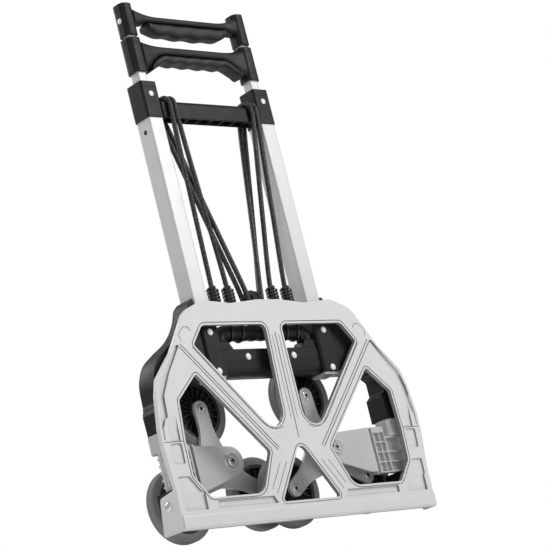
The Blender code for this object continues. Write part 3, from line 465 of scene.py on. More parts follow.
def lathe(profile, axis="Z", location=(0, 0, 0), steps=48, closed=False):
    """A profile (radius, height) turned about an axis; height grows along it."""
    shape = bmesh.new()
    rings = []
    for radius, height in profile:
        count = 1 if radius < 1e-7 else steps
        rings.append([shape.verts.new((*polar(radius, 2 * math.pi * k / steps), height))
                      for k in range(count)])
    for a, b in zip(rings, rings[1:] + (rings[:1] if closed else [])):
        for k in range(steps):
            corners = [a[k % len(a)], a[(k + 1) % len(a)], b[(k + 1) % len(b)], b[k % len(b)]]
            shape.faces.new(list(dict.fromkeys(corners)))
    bmesh.ops.recalc_face_normals(shape, faces=shape.faces)
    return from_bmesh(shape, matrix=Matrix.Translation(location) @ AIM[axis])


def rod(radius, low, high, axis="Z", location=(0, 0, 0), steps=24):
    """A plain cylinder, as a pin or as the tool that cuts a hole."""
    return lathe([(0, low), (radius, low), (radius, high), (0, high)], axis, location, steps)


def bridge(shape, a, b):
    """A band of faces between two rings with as many points as each other."""
    for k in range(len(a)):
        j = (k + 1) % len(a)
        shape.faces.new((a[k], a[j], b[j], b[k]))


def skin(shape, rings):
    """A closed object through rings of points, capped at both ends."""
    for a, b in zip(rings, rings[1:]):
        bridge(shape, a, b)
    shape.faces.new(rings[0][::-1])
    shape.faces.new(rings[-1])
    bmesh.ops.recalc_face_normals(shape, faces=shape.faces)
    return from_bmesh(shape)


def sweep(path, section):
    """A closed skin along a path; section(k) gives the ring's offsets (side, up) at its point k."""
    shape = bmesh.new()
    rings = []
    tangent = (path[1] - path[0]).normalized()
    side = tangent.orthogonal().normalized()
    for k, point in enumerate(path):
        ahead = path[min(k + 1, len(path) - 1)] - path[max(k - 1, 0)]
        turn = tangent.rotation_difference(ahead.normalized())
        tangent = ahead.normalized()
        side = (turn @ side).normalized()
        up = tangent.cross(side)
        rings.append([shape.verts.new(point + side * a + up * b) for a, b in section(k)])
    return skin(shape, rings)


def round_bar(path, radius, sides=20):
    """A round bar along a path, with a radius or a list of radii."""
    radii = radius if isinstance(radius, list) else [radius] * len(path)
    ring = [polar(1, 2 * math.pi * k / sides) for k in range(sides)]
    return sweep(path, lambda k: [(a * radii[k], b * radii[k]) for a, b in ring])


def smooth_path(route, spacing):
    """Points read from a smooth curve through a route's own points, no further apart than spacing."""
    route = [Vector(p) for p in route]
    ends = [route[0] * 2 - route[1]] + route + [route[-1] * 2 - route[-2]]
    path = []
    for before, start, end, after in zip(ends, ends[1:], ends[2:], ends[3:]):
        count = max(1, round((end - start).length / spacing))
        leave = (end - before).normalized() * (end - start).length
        arrive = (after - start).normalized() * (end - start).length
        for k in range(count):
            t = k / count
            path.append(start * (2 * t ** 3 - 3 * t ** 2 + 1) + leave * (t ** 3 - 2 * t ** 2 + t)
                        + end * (3 * t ** 2 - 2 * t ** 3) + arrive * (t ** 3 - t ** 2))
    path.append(route[-1])
    return path


def mirrored(points):
    """A path's mirror image, in reverse, so that it runs on into the path."""
    return [Vector((-p[0], p[1], p[2])) for p in reversed(points)]


# ---------------------------------------------------------------- bungee cords and hooks
CORD_R = 0.0035
HOOK_X = {"outer": 0.070, "inner": 0.042}
CARRY_Z = 0.2700            # height of the carry handle's bar
CARRY_STRAIGHT = 0.0627     # how far out its bar is straight enough for a hook
# half of each cord's centre line, as (x, y, z), from the anchor's post up over the crossbar to the hook
OVER_THE_BAR = [(0.0261, 0.5900), (0.0261, 0.6015), (0.0244, 0.6079), (0.0197, 0.6126),
                (0.0133, 0.6143), (0.0093, 0.6143), (0.0029, 0.6126), (-0.0018, 0.6079),
                (-0.0035, 0.6015), (-0.0035, 0.5900)]
OUTER_ROUTE = ([(0.0000, 0.0165, 0.3030), (0.0085, 0.0165, 0.3053), (0.0147, 0.0165, 0.3115),
                (0.0170, 0.0165, 0.3200), (0.0205, 0.0170, 0.3380), (0.0347, 0.0190, 0.3950),
                (0.0502, 0.0212, 0.4600), (0.0657, 0.0235, 0.5250), (0.0785, 0.0254, 0.5780)]
               + [(0.0820, y, z) for y, z in OVER_THE_BAR]
               + [(0.0795, 0.0008, 0.5400), (0.0765, 0.0053, 0.4800), (0.0740, 0.0092, 0.4280),
                  (0.0715, 0.0130, 0.3780), (0.0700, 0.0155, 0.3420), (0.0700, 0.0155, 0.3273)])
INNER_ROUTE = ([(0.0000, 0.0090, 0.3070), (0.0065, 0.0090, 0.3087), (0.0113, 0.0090, 0.3135),
                (0.0130, 0.0090, 0.3200), (0.0161, 0.0098, 0.3380), (0.0290, 0.0132, 0.3950),
                (0.0434, 0.0175, 0.4600), (0.0577, 0.0217, 0.5250), (0.0697, 0.0251, 0.5780)]
               + [(0.0730, y, z) for y, z in OVER_THE_BAR]
               + [(0.0670, 0.0008, 0.5400), (0.0592, 0.0053, 0.4800), (0.0524, 0.0092, 0.4280),
                  (0.0458, 0.0130, 0.3780), (0.0420, 0.0155, 0.3420), (0.0420, 0.0155, 0.3273)])


def evenly(path, spacing):
    """The same path in equal steps."""
    spots, total = [0.0], 0.0
    for a, b in zip(path, path[1:]):
        total += (b - a).length
        spots.append(total)
    count = round(total / spacing)
    found, i = [], 0
    for k in range(count + 1):
        at = total * k / count
        while i < len(path) - 2 and spots[i + 1] < at:
            i += 1
        share = (at - spots[i]) / (spots[i + 1] - spots[i])
        found.append(path[i].lerp(path[i + 1], min(1.0, share)))
    return found, total


def bungee_cord(name, half):
    """Elastic cord in a braided jacket: two sets of strands that pass over and under each other."""
    half = [Vector(p) for p in half]
    spacing = 0.0006
    line, length = evenly(smooth_path(mirrored(half[1:]) + half, 0.004), spacing)
    sides, strands, pitch = 32, 8, 0.0105
    angles = [2 * math.pi * k / sides for k in range(sides)]

    def braid(k):
        turn = 2 * math.pi * spacing * k / pitch
        ring = []
        for angle in angles:
            one = math.sin(strands / 2 * angle + strands / 2 * turn)
            other = math.sin(strands / 2 * angle - strands / 2 * turn)
            strand = 0.065 * max(abs(one) ** 0.6, abs(other) ** 0.6)
            crossing = 0.05 * abs(one * other)
            ring.append(polar(CORD_R * (0.975 + strand - crossing), angle))
        return ring

    jacket = piece(sweep(line, braid), name, "frame", "cord", name, angle=80)
    return jacket


def cord_hook(name):
    """Plastic-coated wire: fat turns that grip the cord's end, then a hook round the carry handle."""
    node = Box(name)
    side = math.copysign(1, node.mid.x)
    coil, wrap, wire_r = 0.0088, 0.0119, 0.0016
    x = side * HOOK_X["outer" if "outer" in name else "inner"]
    x_low = side * min(abs(x), CARRY_STRAIGHT)
    y, top, low = Box("carry_handle").mid.y, node.high.z + 0.0110, 0.3000
    turns, thick, per_turn = 7, 0.00270, 16
    path, radii = [], []
    for k in range(turns * per_turn + 1):
        angle = 2 * math.pi * k / per_turn + math.pi / 2
        height = top - thick - (top - low - 2 * thick) * k / (turns * per_turn)
        across, back = polar(coil - thick, angle)
        path.append(Vector((x + across, y - back, height)))
        radii.append(thick)
    tail = [path[-1], Vector((x, y - 0.0040, low - 0.0032)), Vector((x_low, y - 0.55 * wrap, 0.2905)),
            Vector((x_low, y - 0.9 * wrap, 0.2800))]
    for degrees in range(180, 341, 20):
        back, up = polar(wrap, math.radians(degrees))
        tail.append(Vector((x_low, y + back, CARRY_Z + up)))
    tail = smooth_path(tail, 0.0012)
    path += tail[1:]
    radii += [thick + (wire_r - thick) * min(1.0, k / 8) for k in range(1, len(tail))]
    spring = round_bar(path, radii, 14)
    core = lathe([(0, low + 0.0004), (0.0028, low + 0.0004), (0.0030, low + 0.001),
                  (0.0030, top - 0.0006), (0.0028, top - 0.0001), (0, top - 0.0001)],
                 location=(x, y, 0), steps=16)
    return piece(joined(spring, core), name + "_wire", "frame", "black_plastic", name, angle=50,
                 paint=WIRE_COATING)


def cord_anchor():
    """Rounded saddle on the carry handle, with a stepped post that both cords turn round."""
    node = Box("cord_anchor")
    turn_z = 0.3200
    back = node.high.y - 0.0035
    low = node.low.z
    centre = (0, 0, turn_z)
    plate = slab("front", [fillet([(-0.012, low, 0.001), (0.012, low, 0.001), (0.012, turn_z, 0.006),
                                   (-0.012, turn_z, 0.006)], 8)], back, node.high.y)
    soften(plate, 0.0008, 2)
    foot = soften(blocks(((-0.0115, 0.0090, low), (0.0115, back + 0.002, low + 0.006))), 0.0012, 3)
    post = lathe([(0, 0.0050), (0.0070, 0.0050), (0.0082, 0.0058), (0.0085, 0.0066), (0.0085, 0.0125),
                  (0.0115, 0.0129), (0.0123, 0.0136), (0.0125, 0.0146), (0.0125, back + 0.001),
                  (0, back + 0.001)], "Y", centre, 40)
    fuse(plate, foot, post)
    cut(plate, lathe([(0, 0.0040), (0.0045, 0.0040), (0.0040, 0.0062), (0, 0.0062)], "Y", centre, 24))
    piece(plate, "anchor_saddle", "frame", "black_plastic", "cord_anchor")


# ---------------------------------------------------------------- screws and rivets
def cross_head(centre, axis, radius, height):
    """Domed screw head with a cross recess; its seat is at the centre, and it stands out along axis."""
    dome = [(radius * math.cos(math.radians(a)), height * (0.25 + 0.75 * math.sin(math.radians(a))))
            for a in range(0, 90, 12)]
    head = lathe([(0, 0), (radius, 0)] + dome + [(0, height)], steps=32)
    reach, width = radius * 0.55, radius * 0.13
    cut(head, blocks(((-reach, -width, height * 0.45), (reach, width, height * 2))),
        blocks(((-width, -reach, height * 0.45), (width, reach, height * 2))))
    head.matrix_world = Matrix.Translation(centre) @ AIM[axis]
    return bake(head)


def rivet(centre, axis, radius=0.0048, height=0.0020):
    """Domed rivet on a thin flange, with a shallow drive dimple."""
    flange = 0.0004
    turns = [math.radians(a) for a in range(0, 84, 12)]
    dome = [(radius * 0.92 * math.cos(a), flange + (height - flange) * math.sin(a)) for a in turns]
    dimple = [(radius * 0.16, height - 0.00005), (radius * 0.12, height - 0.0003), (0, height - 0.0003)]
    head = lathe([(0, -0.001), (radius, -0.001), (radius, 0.0002)] + dome + dimple, steps=32)
    head.matrix_world = Matrix.Translation(centre) @ AIM[axis]
    return bake(head)


# ---------------------------------------------------------------- toe plate
TOE_FRONT, TOE_REAR = -0.0045, 0.0058
BUMPER_FRONT, BUMPER_TOP, BUMPER_HALF = -0.0065, 0.022, 0.2385
EAR_OUTER, EAR_WALL = 0.2390, 0.0024
EAR_INNER = EAR_OUTER - EAR_WALL
EAR_HEEL = {-1: [(0.0375, 0.0, 0.004)], 1: [(0.0190, 0.0, 0.004), (0.0335, 0.0190, 0.004)]}
PIVOT = JOINTS["toe_fold"]["pos_m"]
SKIN, STRUT_DEPTH, WALL, EDGE_STEP = 0.0046, 0.0062, 0.0026, 0.0030
RIB_HALF, RIB_FRONT, RIB_BACK = 0.0009, -0.01, 0.02
CLEAR = 0.002               # how far a cutting tool stands off the plate
LINE_DEPTH = 0.0020
# outlines of the right half, as (x, z, corner radius)
TOE_OUTLINE = [(0.020, 0.3095, 0.030), (0.070, 0.3045, 0.040), (0.122, 0.3090, 0.030),
               (0.158, 0.2950, 0.035), (0.197, 0.2380, 0.006), (0.206, 0.2290, 0.006),
               (0.231, 0.2020, 0.010), (0.2385, 0.1780, 0.008), (0.2450, 0.1340, 0.010),
               (0.2445, 0.1100, 0.010), (0.2390, 0.0550, 0.008), (0.2395, 0.0000, 0.004)]
UPPER_WINDOW = [(0.0150, 0.2742, 0.009), (0.1320, 0.2742, 0.012), (0.1540, 0.2470, 0.004),
                (0.0195, 0.0968, 0.0215)]
LOWER_WINDOW = [(0.1620, 0.2070, 0.004), (0.2010, 0.1720, 0.006), (0.2050, 0.1150, 0.010),
                (0.2040, 0.0700, 0.008), (0.1800, 0.0400, 0.010), (0.0860, 0.0400, 0.022),
                (0.0580, 0.0970, 0.006)]
CENTRE_WINDOW = [(0.0000, 0.1080, 0.010), (0.0530, 0.0300, 0.002), (0.0510, 0.0260, 0.002),
                 (-0.0510, 0.0260, 0.002), (-0.0530, 0.0300, 0.002)]
# recesses beside and under the lower windows
EDGE_CHANNEL = [(0.1860, 0.2470, 0.002), (0.2030, 0.2275, 0.004), (0.2262, 0.2010, 0.006),
                (0.2345, 0.1775, 0.006), (0.2402, 0.1380, 0.004), (0.2404, 0.1195, 0.001),
                (0.2384, 0.1195, 0.001), (0.2372, 0.1360, 0.003), (0.2318, 0.1470, 0.003),
                (0.2262, 0.1505, 0.002), (0.2250, 0.1790, 0.006), (0.2075, 0.2100, 0.006),
                (0.1935, 0.2290, 0.004), (0.1800, 0.2480, 0.002)]
SIDE_PANEL = [(0.2130, 0.1150, 0.003), (0.2325, 0.1145, 0.003), (0.2312, 0.0870, 0.003),
              (0.2130, 0.0870, 0.003)]
CORNER_PANEL = [(0.2120, 0.0705, 0.002), (0.2315, 0.0705, 0.002), (0.2312, 0.0480, 0), (0.1945, 0.0480, 0)]
FOOT_PANEL = [(0.0700, 0.0352, 0.001), (0.1716, 0.0352, 0.001), (0.1716, 0.0250, 0.001),
              (0.0640, 0.0250, 0.001)]
PANELS = ((EDGE_CHANNEL, 0.0036), (SIDE_PANEL, 0.0024), (CORNER_PANEL, 0.0024), (FOOT_PANEL, 0.0032))


def sunk(loops, depth):
    """A cutter that sinks outlines into the toe plate's front."""
    return slab("front", loops, TOE_FRONT - CLEAR, TOE_FRONT + depth)


def toe_windows(by=0.0, steps=6):
    """The five windows' outlines, each grown by a distance."""
    loops = [fillet(grown(CENTRE_WINDOW, by), steps)]
    for half in (UPPER_WINDOW, LOWER_WINDOW):
        loops += [fillet(grown(sided(half, sign), by), steps) for sign in (1, -1)]
    return loops


def strut_lines():
    """Fine grooves on the right half: along the diagonal strut, at its ends, and down the leg."""
    first, last = Vector((0.1795, 0.2468)), Vector((0.0425, 0.0985))
    aside = Vector((0.0016, -0.0015))
    pair = [strip([first + aside * k, last + aside * k], 0.0013) for k in (-1, 1)]
    rib_edge = [(0.1575, 0.2438), (0.0640, 0.1390), (0.0560, 0.1318), (0.0460, 0.1268), (0.0350, 0.1258),
                (0.0240, 0.1290)]
    crown = [(0.1745, 0.2530), (0.1772, 0.2600), (0.1730, 0.2670), (0.1650, 0.2725), (0.1580, 0.2715),
             (0.1545, 0.2660)]
    leg = ([(0.0335, 0.0800), (0.0630, 0.0375)], [(0.0460, 0.0790), (0.0700, 0.0445)])
    fine = [strip(line, 0.0009) for line in (rib_edge, crown, *leg)]
    level = strip([(0.2087, 0.1172), (0.2418, 0.1168)], 0.0012)
    return pair + fine + [level]


def middle_lines():
    """Three grooves down the middle strut."""
    rails = [strip([(x, 0.2590), (x * 0.92, 0.1400)], 0.0008) for x in (-0.0064, 0.0064)]
    return [strip([(0, 0.2620), (0, 0.1130)], 0.0014)] + rails


def toe_ribs():
    """What the hollow back leaves standing: short ribs under the top edge, and long ones across."""
    ribs = [((x - RIB_HALF, RIB_FRONT, 0.276), (x + RIB_HALF, RIB_BACK, 0.32)) for x in
            [0.030 * k for k in range(-4, 5)]]
    ribs.append(((-RIB_HALF, RIB_FRONT, 0.115), (RIB_HALF, RIB_BACK, 0.278)))
    ribs += [((-0.25, RIB_FRONT, z - RIB_HALF), (0.25, RIB_BACK, z + RIB_HALF))
             for z in (0.0640, 0.1600, 0.2050, 0.2420)]
    return ribs + [((-0.25, RIB_FRONT, -0.01), (0.25, RIB_BACK, 0.0038))]


def toe_plate():
    """Windowed plate with a rolled lower edge, a hollow ribbed back and grooves and recesses in front."""
    outline = TOE_OUTLINE + sided(TOE_OUTLINE[::-1], -1)
    plate = slab("front", [fillet(outline)] + toe_windows(), TOE_FRONT, TOE_REAR)
    soften(plate, 0.0009, 3)
    bumper = slab("side", [fillet([(BUMPER_FRONT, 0, 0.005), (BUMPER_FRONT, BUMPER_TOP, 0.006),
                                   (TOE_REAR - 0.001, BUMPER_TOP, 0.001), (TOE_REAR - 0.001, 0, 0.002)])],
                  -BUMPER_HALF, BUMPER_HALF)
    soften(bumper, 0.0016, 3, 70)
    fuse(plate, bumper)
    rebate = [fillet(grown(outline, 0.0100), 3), fillet(grown(outline, -EDGE_STEP))]
    cut(plate, slab("front", rebate, TOE_FRONT + 0.0068, TOE_REAR + 0.0020))
    for sign in (-1, 1):
        ear = fillet([(BUMPER_FRONT + 0.002, 0.0, 0), *EAR_HEEL[sign], (0.0305, 0.0500, 0.006),
                      (BUMPER_FRONT + 0.002, 0.0560, 0)])
        wing = slab("side", [ear], sign * EAR_INNER, sign * EAR_OUTER)
        fuse(plate, soften(wing, 0.0006, 2))
    # hollow back between walls round the outline and the windows
    back = slab("front", [fillet(grown(outline, -EDGE_STEP - WALL), 4)] + toe_windows(WALL, 4),
                TOE_FRONT + SKIN, TOE_REAR + 0.004)
    cut(back, *[blocks(rib) for rib in toe_ribs()])
    cut(plate, back)
    cut(plate, slab("front", toe_windows(WALL + 0.0010, 4), TOE_FRONT + STRUT_DEPTH, TOE_REAR + 0.004))
    for sign in (-1, 1):
        cut(plate, side_block(sign, (0.1905, TOE_FRONT + 0.0041, 0.005), (EAR_INNER, 0.02, 0.062)))
    # front relief: a raised ring round each window, the fine lines, then the recesses and their ramps
    rings = [loop for pair in zip(toe_windows(0.0028), toe_windows(0.0041)) for loop in pair]
    cut(plate, sunk(rings, LINE_DEPTH))
    lines = strut_lines()
    cut(plate, *[sunk([line], LINE_DEPTH) for line in lines + [flipped(line) for line in lines]])
    cut(plate, *[sunk([line], LINE_DEPTH) for line in middle_lines()])
    ramp = [(-CLEAR, 0.1490), (0.0001, 0.1490), (0.0024, 0.1320), (0.0024, 0.1180), (-CLEAR, 0.1180)]
    step = [(-CLEAR, 0.0500), (0.0020, 0.0500), (0.0033, 0.0430), (0.0033, 0.0250), (-CLEAR, 0.0250)]
    for sign in (1, -1):
        cut(plate, *[sunk([fillet(sided(panel, sign), 4)], depth) for panel, depth in PANELS])
        for section, inner, outer in ((ramp, 0.2130, 0.2295), (step, 0.1905, 0.2290)):
            loop = [(TOE_FRONT + y, z) for y, z in section]
            cut(plate, slab("side", [loop], sign * inner, sign * outer))
    plate.matrix_world = LEAN
    bake(plate)
    for sign in (-1, 1):
        cut(plate, rod(PIN_HOLE_R, -0.006, 0.006, "X", (sign * EAR_OUTER, PIVOT[1], PIVOT[2])))
    piece(plate, "toe_plate_moulding", "toe", "silver_plastic", "toe_plate")


def toe_pivots():
    """Cross-headed screws that the toe plate's ears turn on."""
    for side, sign in SIDES.items():
        node = Box(side + "_toe_pivot")
        seat = sign * (EAR_OUTER + 0.0003)
        head = cross_head((seat, PIVOT[1], PIVOT[2]), OUTWARD[sign], 0.0060, 0.0024)
        inner = node.low.x if sign > 0 else node.high.x
        length = abs(seat - inner) + 0.0005
        shank = lathe([(0, 0), (0.0027, 0), (0.0030, 0.0004), (0.0030, length), (0, length)],
                      OUTWARD[sign], (inner, PIVOT[1], PIVOT[2]), 20)
        piece(fuse(head, shank), side + "_pivot_screw", "toe", "steel", side + "_toe_pivot")


# ---------------------------------------------------------------- wheels
WHEEL_R, RIM_R = 0.0520, 0.0400


def tyre_profile():
    """Tread with rounded shoulders, and a stepped ring on each sidewall."""
    side = [(RIM_R, 0.0082), (RIM_R + 0.0006, 0.0088), (0.0440, 0.0088), (0.0446, 0.0090), (0.0462, 0.0090),
            (0.0466, 0.0084), (0.0480, 0.0082)]
    shoulder = [(0.0480 + 0.0040 * math.sin(math.radians(a)), 0.0042 + 0.0040 * math.cos(math.radians(a)))
                for a in range(15, 91, 15)]
    profile = side + shoulder + [(WHEEL_R, 0.0022), (WHEEL_R - 0.0004, 0.0018)]
    return profile + [(r, -h) for r, h in reversed(profile)]


def ribbed_hub():
    """Dished disc with ribs from the boss to the rim on both faces; rows of (radius, rib, web) heights."""
    ribs, rib_half, nut_room = 20, 0.0007, 0.0091
    rows = [(0.0046, 0.0072, 0.0072), (0.0062, 0.0072, 0.0072), (0.0066, 0.0078, 0.0078),
            (0.0112, 0.0078, 0.0078), (0.0120, 0.0070, 0.0070), (0.0124, 0.0066, 0.0016),
            (0.0200, 0.0056, 0.0012), (0.0290, 0.0056, 0.0012), (0.0352, 0.0062, 0.0016),
            (0.0356, 0.0072, 0.0072), (0.0362, 0.0078, 0.0078), (0.0390, 0.0078, 0.0078),
            (0.0397, 0.0072, 0.0072)]
    shape = bmesh.new()
    faces = {}
    for way in (1, -1):
        grid = []
        for radius, rib, web in rows:
            inner = math.asin(rib_half / radius)
            outer = math.asin((rib_half + 0.0003) / radius)
            ring = []
            for k in range(ribs):
                middle = 2 * math.pi * k / ribs
                for turn, height in ((-outer, web), (-inner, rib), (inner, rib), (outer, web),
                                     (math.pi / ribs, web)):
                    if way < 0 and radius < nut_room:
                        height = min(height, 0.0034)
                    ring.append(shape.verts.new((*polar(radius, middle + turn), way * height)))
            grid.append(ring)
        faces[way] = grid
        for a, b in zip(grid, grid[1:]):
            bridge(shape, a, b)
    for row in (0, -1):
        bridge(shape, faces[1][row], faces[-1][row])
    bmesh.ops.recalc_face_normals(shape, faces=shape.faces)
    return shape


def wheel_bolt(name, node, body, shank, head_r, head_t, nut_r, nut_t, hexagon):
    """Flanged bolt with a hexagon or cross recess in front, and a nut with a washer behind."""
    box = Box(node)
    x, z, length = box.mid.x, box.mid.z, box.size.y
    head = [(0, 0.0004), (head_r * 0.52, 0.0004), (head_r * 0.56, 0.0), (head_r * 0.80, 0.0),
            (head_r * 0.86, head_t * 0.3), (head_r * 0.98, head_t * 0.55), (head_r, head_t)]
    nut_low = length - nut_t
    profile = head + [(shank, head_t), (shank, nut_low), (nut_r, nut_low), (nut_r, nut_low + 0.0008),
                      (nut_r * 0.82, nut_low + 0.0009), (nut_r * 0.80, length - 0.0005),
                      (nut_r * 0.70, length), (0, length)]
    bolt = lathe(profile, "Y", (x, box.low.y, z), 36)
    reach, wide = head_r * 0.42, head_r * 0.12
    front, depth = box.low.y - 0.001, box.low.y + head_t + 0.0004
    if hexagon:
        sixths = [polar(reach, math.pi * k / 3) for k in range(6)]
        cut(bolt, slab("front", [[Vector((x + a, z + b)) for a, b in sixths]], front, depth + 0.0006))
    else:
        cut(bolt, *[blocks(((x - a, front, z - b), (x + a, depth, z + b)))
                    for a, b in ((reach, wide), (wide, reach))])
    piece(bolt, name, body, "steel", node)
    plug = rod(head_r * 0.50, 0, 0.0004, "Y", (x, box.low.y + head_t - 0.0002, z))
    piece(plug, name + "_socket", body, "black_plastic")


def wheels():
    """A tyre, a ribbed hub and a bolt for each wheel."""
    profile = [(r, -h) for r, h in tyre_profile()]
    for side in SIDES:
        for which in WHEELS:
            label = side + "_" + which
            centre = Vector(JOINTS[label + "_wheel_spin"]["pos_m"])
            centre.y = Box(label + "_tyre").mid.y
            rubber = lathe(profile, "Y", centre, 72, closed=True)
            piece(rubber, label + "_tyre_rubber", label + "_wheel", "tyre", label + "_tyre")
            disc = from_bmesh(ribbed_hub(), matrix=Matrix.Translation(centre) @ AIM["-Y"])
            piece(disc, label + "_hub_disc", label + "_wheel", "hub_plastic", label + "_hub", angle=30)
            wheel_bolt(label + "_axle_bolt", label + "_wheel_bolt", side + "_cluster", 0.0040,
                       0.0065, 0.0012, 0.0070, 0.0035, hexagon=True)


# ---------------------------------------------------------------- wheel clusters
CLUSTER_TURN = {"left": math.radians(93.0), "right": math.radians(94.1)}
ARM_LENGTH, ARM_HALF, ARM_THICK, STAR_HUB_R = 0.0840, 0.0115, 0.0050, 0.0160


def tri_star(side):
    """Three arms with broad chamfers, raised rings round the bolts and a hub that reaches the bracket."""
    node = Box(side + "_tri_star")
    arms = node.high.y - ARM_THICK
    axis = Vector(JOINTS[side + "_cluster_spin"]["pos_m"])
    tip, neck, neck_share = ARM_LENGTH + ARM_HALF, ARM_LENGTH * 0.62, 1.06
    thirds = [2 * math.pi * k / 3 for k in range(3)]
    corners = []
    for arm in thirds:
        along, across = Vector((math.cos(arm), math.sin(arm))), Vector((-math.sin(arm), math.cos(arm)))
        for reach, share, radius in ((neck, -neck_share, 0.060), (tip, -1, ARM_HALF),
                                     (tip, 1, ARM_HALF), (neck, neck_share, 0.060)):
            corners.append((*(along * reach + across * ARM_HALF * share), radius))
        corners.append((*polar(0.0285, arm + math.pi / 3), 0.030))
    star = slab("front", [fillet(corners, 10)], 0, ARM_THICK)
    soften(star, 0.0016, 3, 60)
    reach = arms - node.low.y
    fuse(star, lathe([(0, -reach), (STAR_HUB_R - 0.001, -reach), (STAR_HUB_R, 0.001 - reach),
                      (STAR_HUB_R, -0.0060), (STAR_HUB_R + 0.0015, -0.0020),
                      (STAR_HUB_R + 0.0045, 0.0010), (0, 0.0010)], "Y"))
    for arm in thirds:
        x, z = polar(ARM_LENGTH, arm)
        fuse(star, lathe([(0.0068, -0.0008), (0.0086, -0.0008), (0.0093, 0.0004), (0.0093, 0.0010),
                          (0.0068, 0.0010)], "Y", (x, 0, z), 40, closed=True))
        cut(star, rod(0.0043, -0.01, 0.01, "Y", (x, 0, z), 32))
    cut(star, rod(BOLT_HOLE_R, -reach - 0.01, 0.01, "Y", steps=32))
    turn = Matrix.Rotation(-CLUSTER_TURN[side], 4, "Y")
    star.matrix_world = Matrix.Translation((axis.x, arms, axis.z)) @ turn
    piece(star, side + "_star_arms", side + "_cluster", "grey_plastic", side + "_tri_star")
    wheel_bolt(side + "_centre_bolt", side + "_cluster_bolt", side + "_bracket", 0.0050, 0.0085, 0.0025,
               0.0090, 0.0050, hexagon=False)


# ---------------------------------------------------------------- swinging brackets
BODY_REACH = {"left": (0.0075, 0.0175), "right": (-0.0035, 0.0065)}
PLATE_OFFSET = {"left": 0.0145, "right": -0.0035}
PLATE_THICK = 0.0030
BARREL_R, BARREL_LOW, BARREL_HIGH = 0.0070, 0.0573, 0.1097


def wheel_bracket(side):
    """Round-nosed plate for the cluster, a gridded body and a ribbed barrel on the hinge pin."""
    hinge = Vector(JOINTS[side + "_wheel_fold"]["pos_m"])
    spin = JOINTS[side + "_cluster_spin"]["pos_m"]
    sign = SIDES[side]
    hinge_x = abs(hinge.x)
    front = hinge.y + PLATE_OFFSET[side]
    near, far = (hinge.y + reach for reach in BODY_REACH[side])
    turns = [polar(0.0205, math.radians(100 + 8.5 * k)) for k in range(19)]
    nose = [(abs(spin[0]) + a, spin[2] + b) for a, b in turns]
    plan = [(0.1530, 0.1240), *nose, (0.1400, 0.0600), (0.1530, 0.0600)]
    plate = slab("front", [[Vector((sign * a, b)) for a, b in plan]], front, front + PLATE_THICK)
    shape = [(0.1520, 0.1240), (0.1840, 0.1240), (0.1840, BARREL_HIGH), (hinge_x, BARREL_HIGH),
             (hinge_x, BARREL_LOW), (0.1520, BARREL_LOW)]
    fuse(plate, slab("front", [[Vector((sign * a, b)) for a, b in shape]], near, far))
    if far > BARREL_R + hinge.y:
        fuse(plate, side_block(sign, (hinge_x - 0.009, hinge.y, BARREL_LOW),
                               (hinge_x + 0.0050, far, BARREL_HIGH)))
    # barrel with five grooves
    rings = [(0, BARREL_LOW), (0.0066, BARREL_LOW), (BARREL_R, BARREL_LOW + 0.0004)]
    for k in range(5):
        z = 0.0660 + 0.0090 * k
        rings += [(BARREL_R, z - 0.0012), (0.0062, z - 0.0009), (0.0062, z + 0.0009), (BARREL_R, z + 0.0012)]
    rings += [(BARREL_R, BARREL_HIGH - 0.0004), (0.0066, BARREL_HIGH), (0, BARREL_HIGH)]
    fuse(plate, lathe(rings, location=(hinge.x, hinge.y, 0), steps=32))
    # grid of cells in the body, pockets beside the barrel, and the rod's slot
    cells = []
    for left, right in ((0.1616, 0.1722), (0.1738, 0.1826)):
        for k in range(4):
            low = 0.0590 + 0.0146 * k
            cells.append(((left, near - 0.001, low), (right, near + 0.0052, low + 0.0130)))
    for low, high in ((0.0600, 0.0722), (0.0736, 0.0868), (0.0882, 0.1070)):
        cells.append(((0.1850, near - 0.001, low), (hinge_x - 0.0085, 0.4 * near + 0.6 * far, high)))
    cells.append(((0.1540, near - 0.001, 0.05), (0.1600, near + 0.0050, 0.13)))
    cut(plate, *[side_block(sign, *cell) for cell in cells])
    soften(plate, 0.0005, 2)
    cut(plate, rod(PIN_HOLE_R, 0, 0.1, location=(hinge.x, hinge.y, 0.04)),
        rod(BOLT_HOLE_R, -0.02, 0.02, "Y", (spin[0], front, spin[2]), 32))
    piece(plate, side + "_bracket_casting", side + "_bracket", "grey_plastic", side + "_wheel_bracket")
    bar = lathe([(0, 0.0590), (0.0010, 0.0590), (0.0014, 0.0594), (0.0014, 0.1216), (0.0010, 0.1220),
                 (0, 0.1220)], location=(sign * 0.1570, near + 0.0036, 0), steps=20)
    piece(bar, side + "_bracket_rod", side + "_bracket", "steel")
    washer = lathe([(0.0092, -0.0007), (0.0118, -0.0007), (0.0124, 0.0001), (0.0124, 0.0006),
                    (0.0092, 0.0006)], "Y", (spin[0], front, spin[2]), closed=True)
    piece(washer, side + "_bolt_washer", side + "_bracket", "steel")


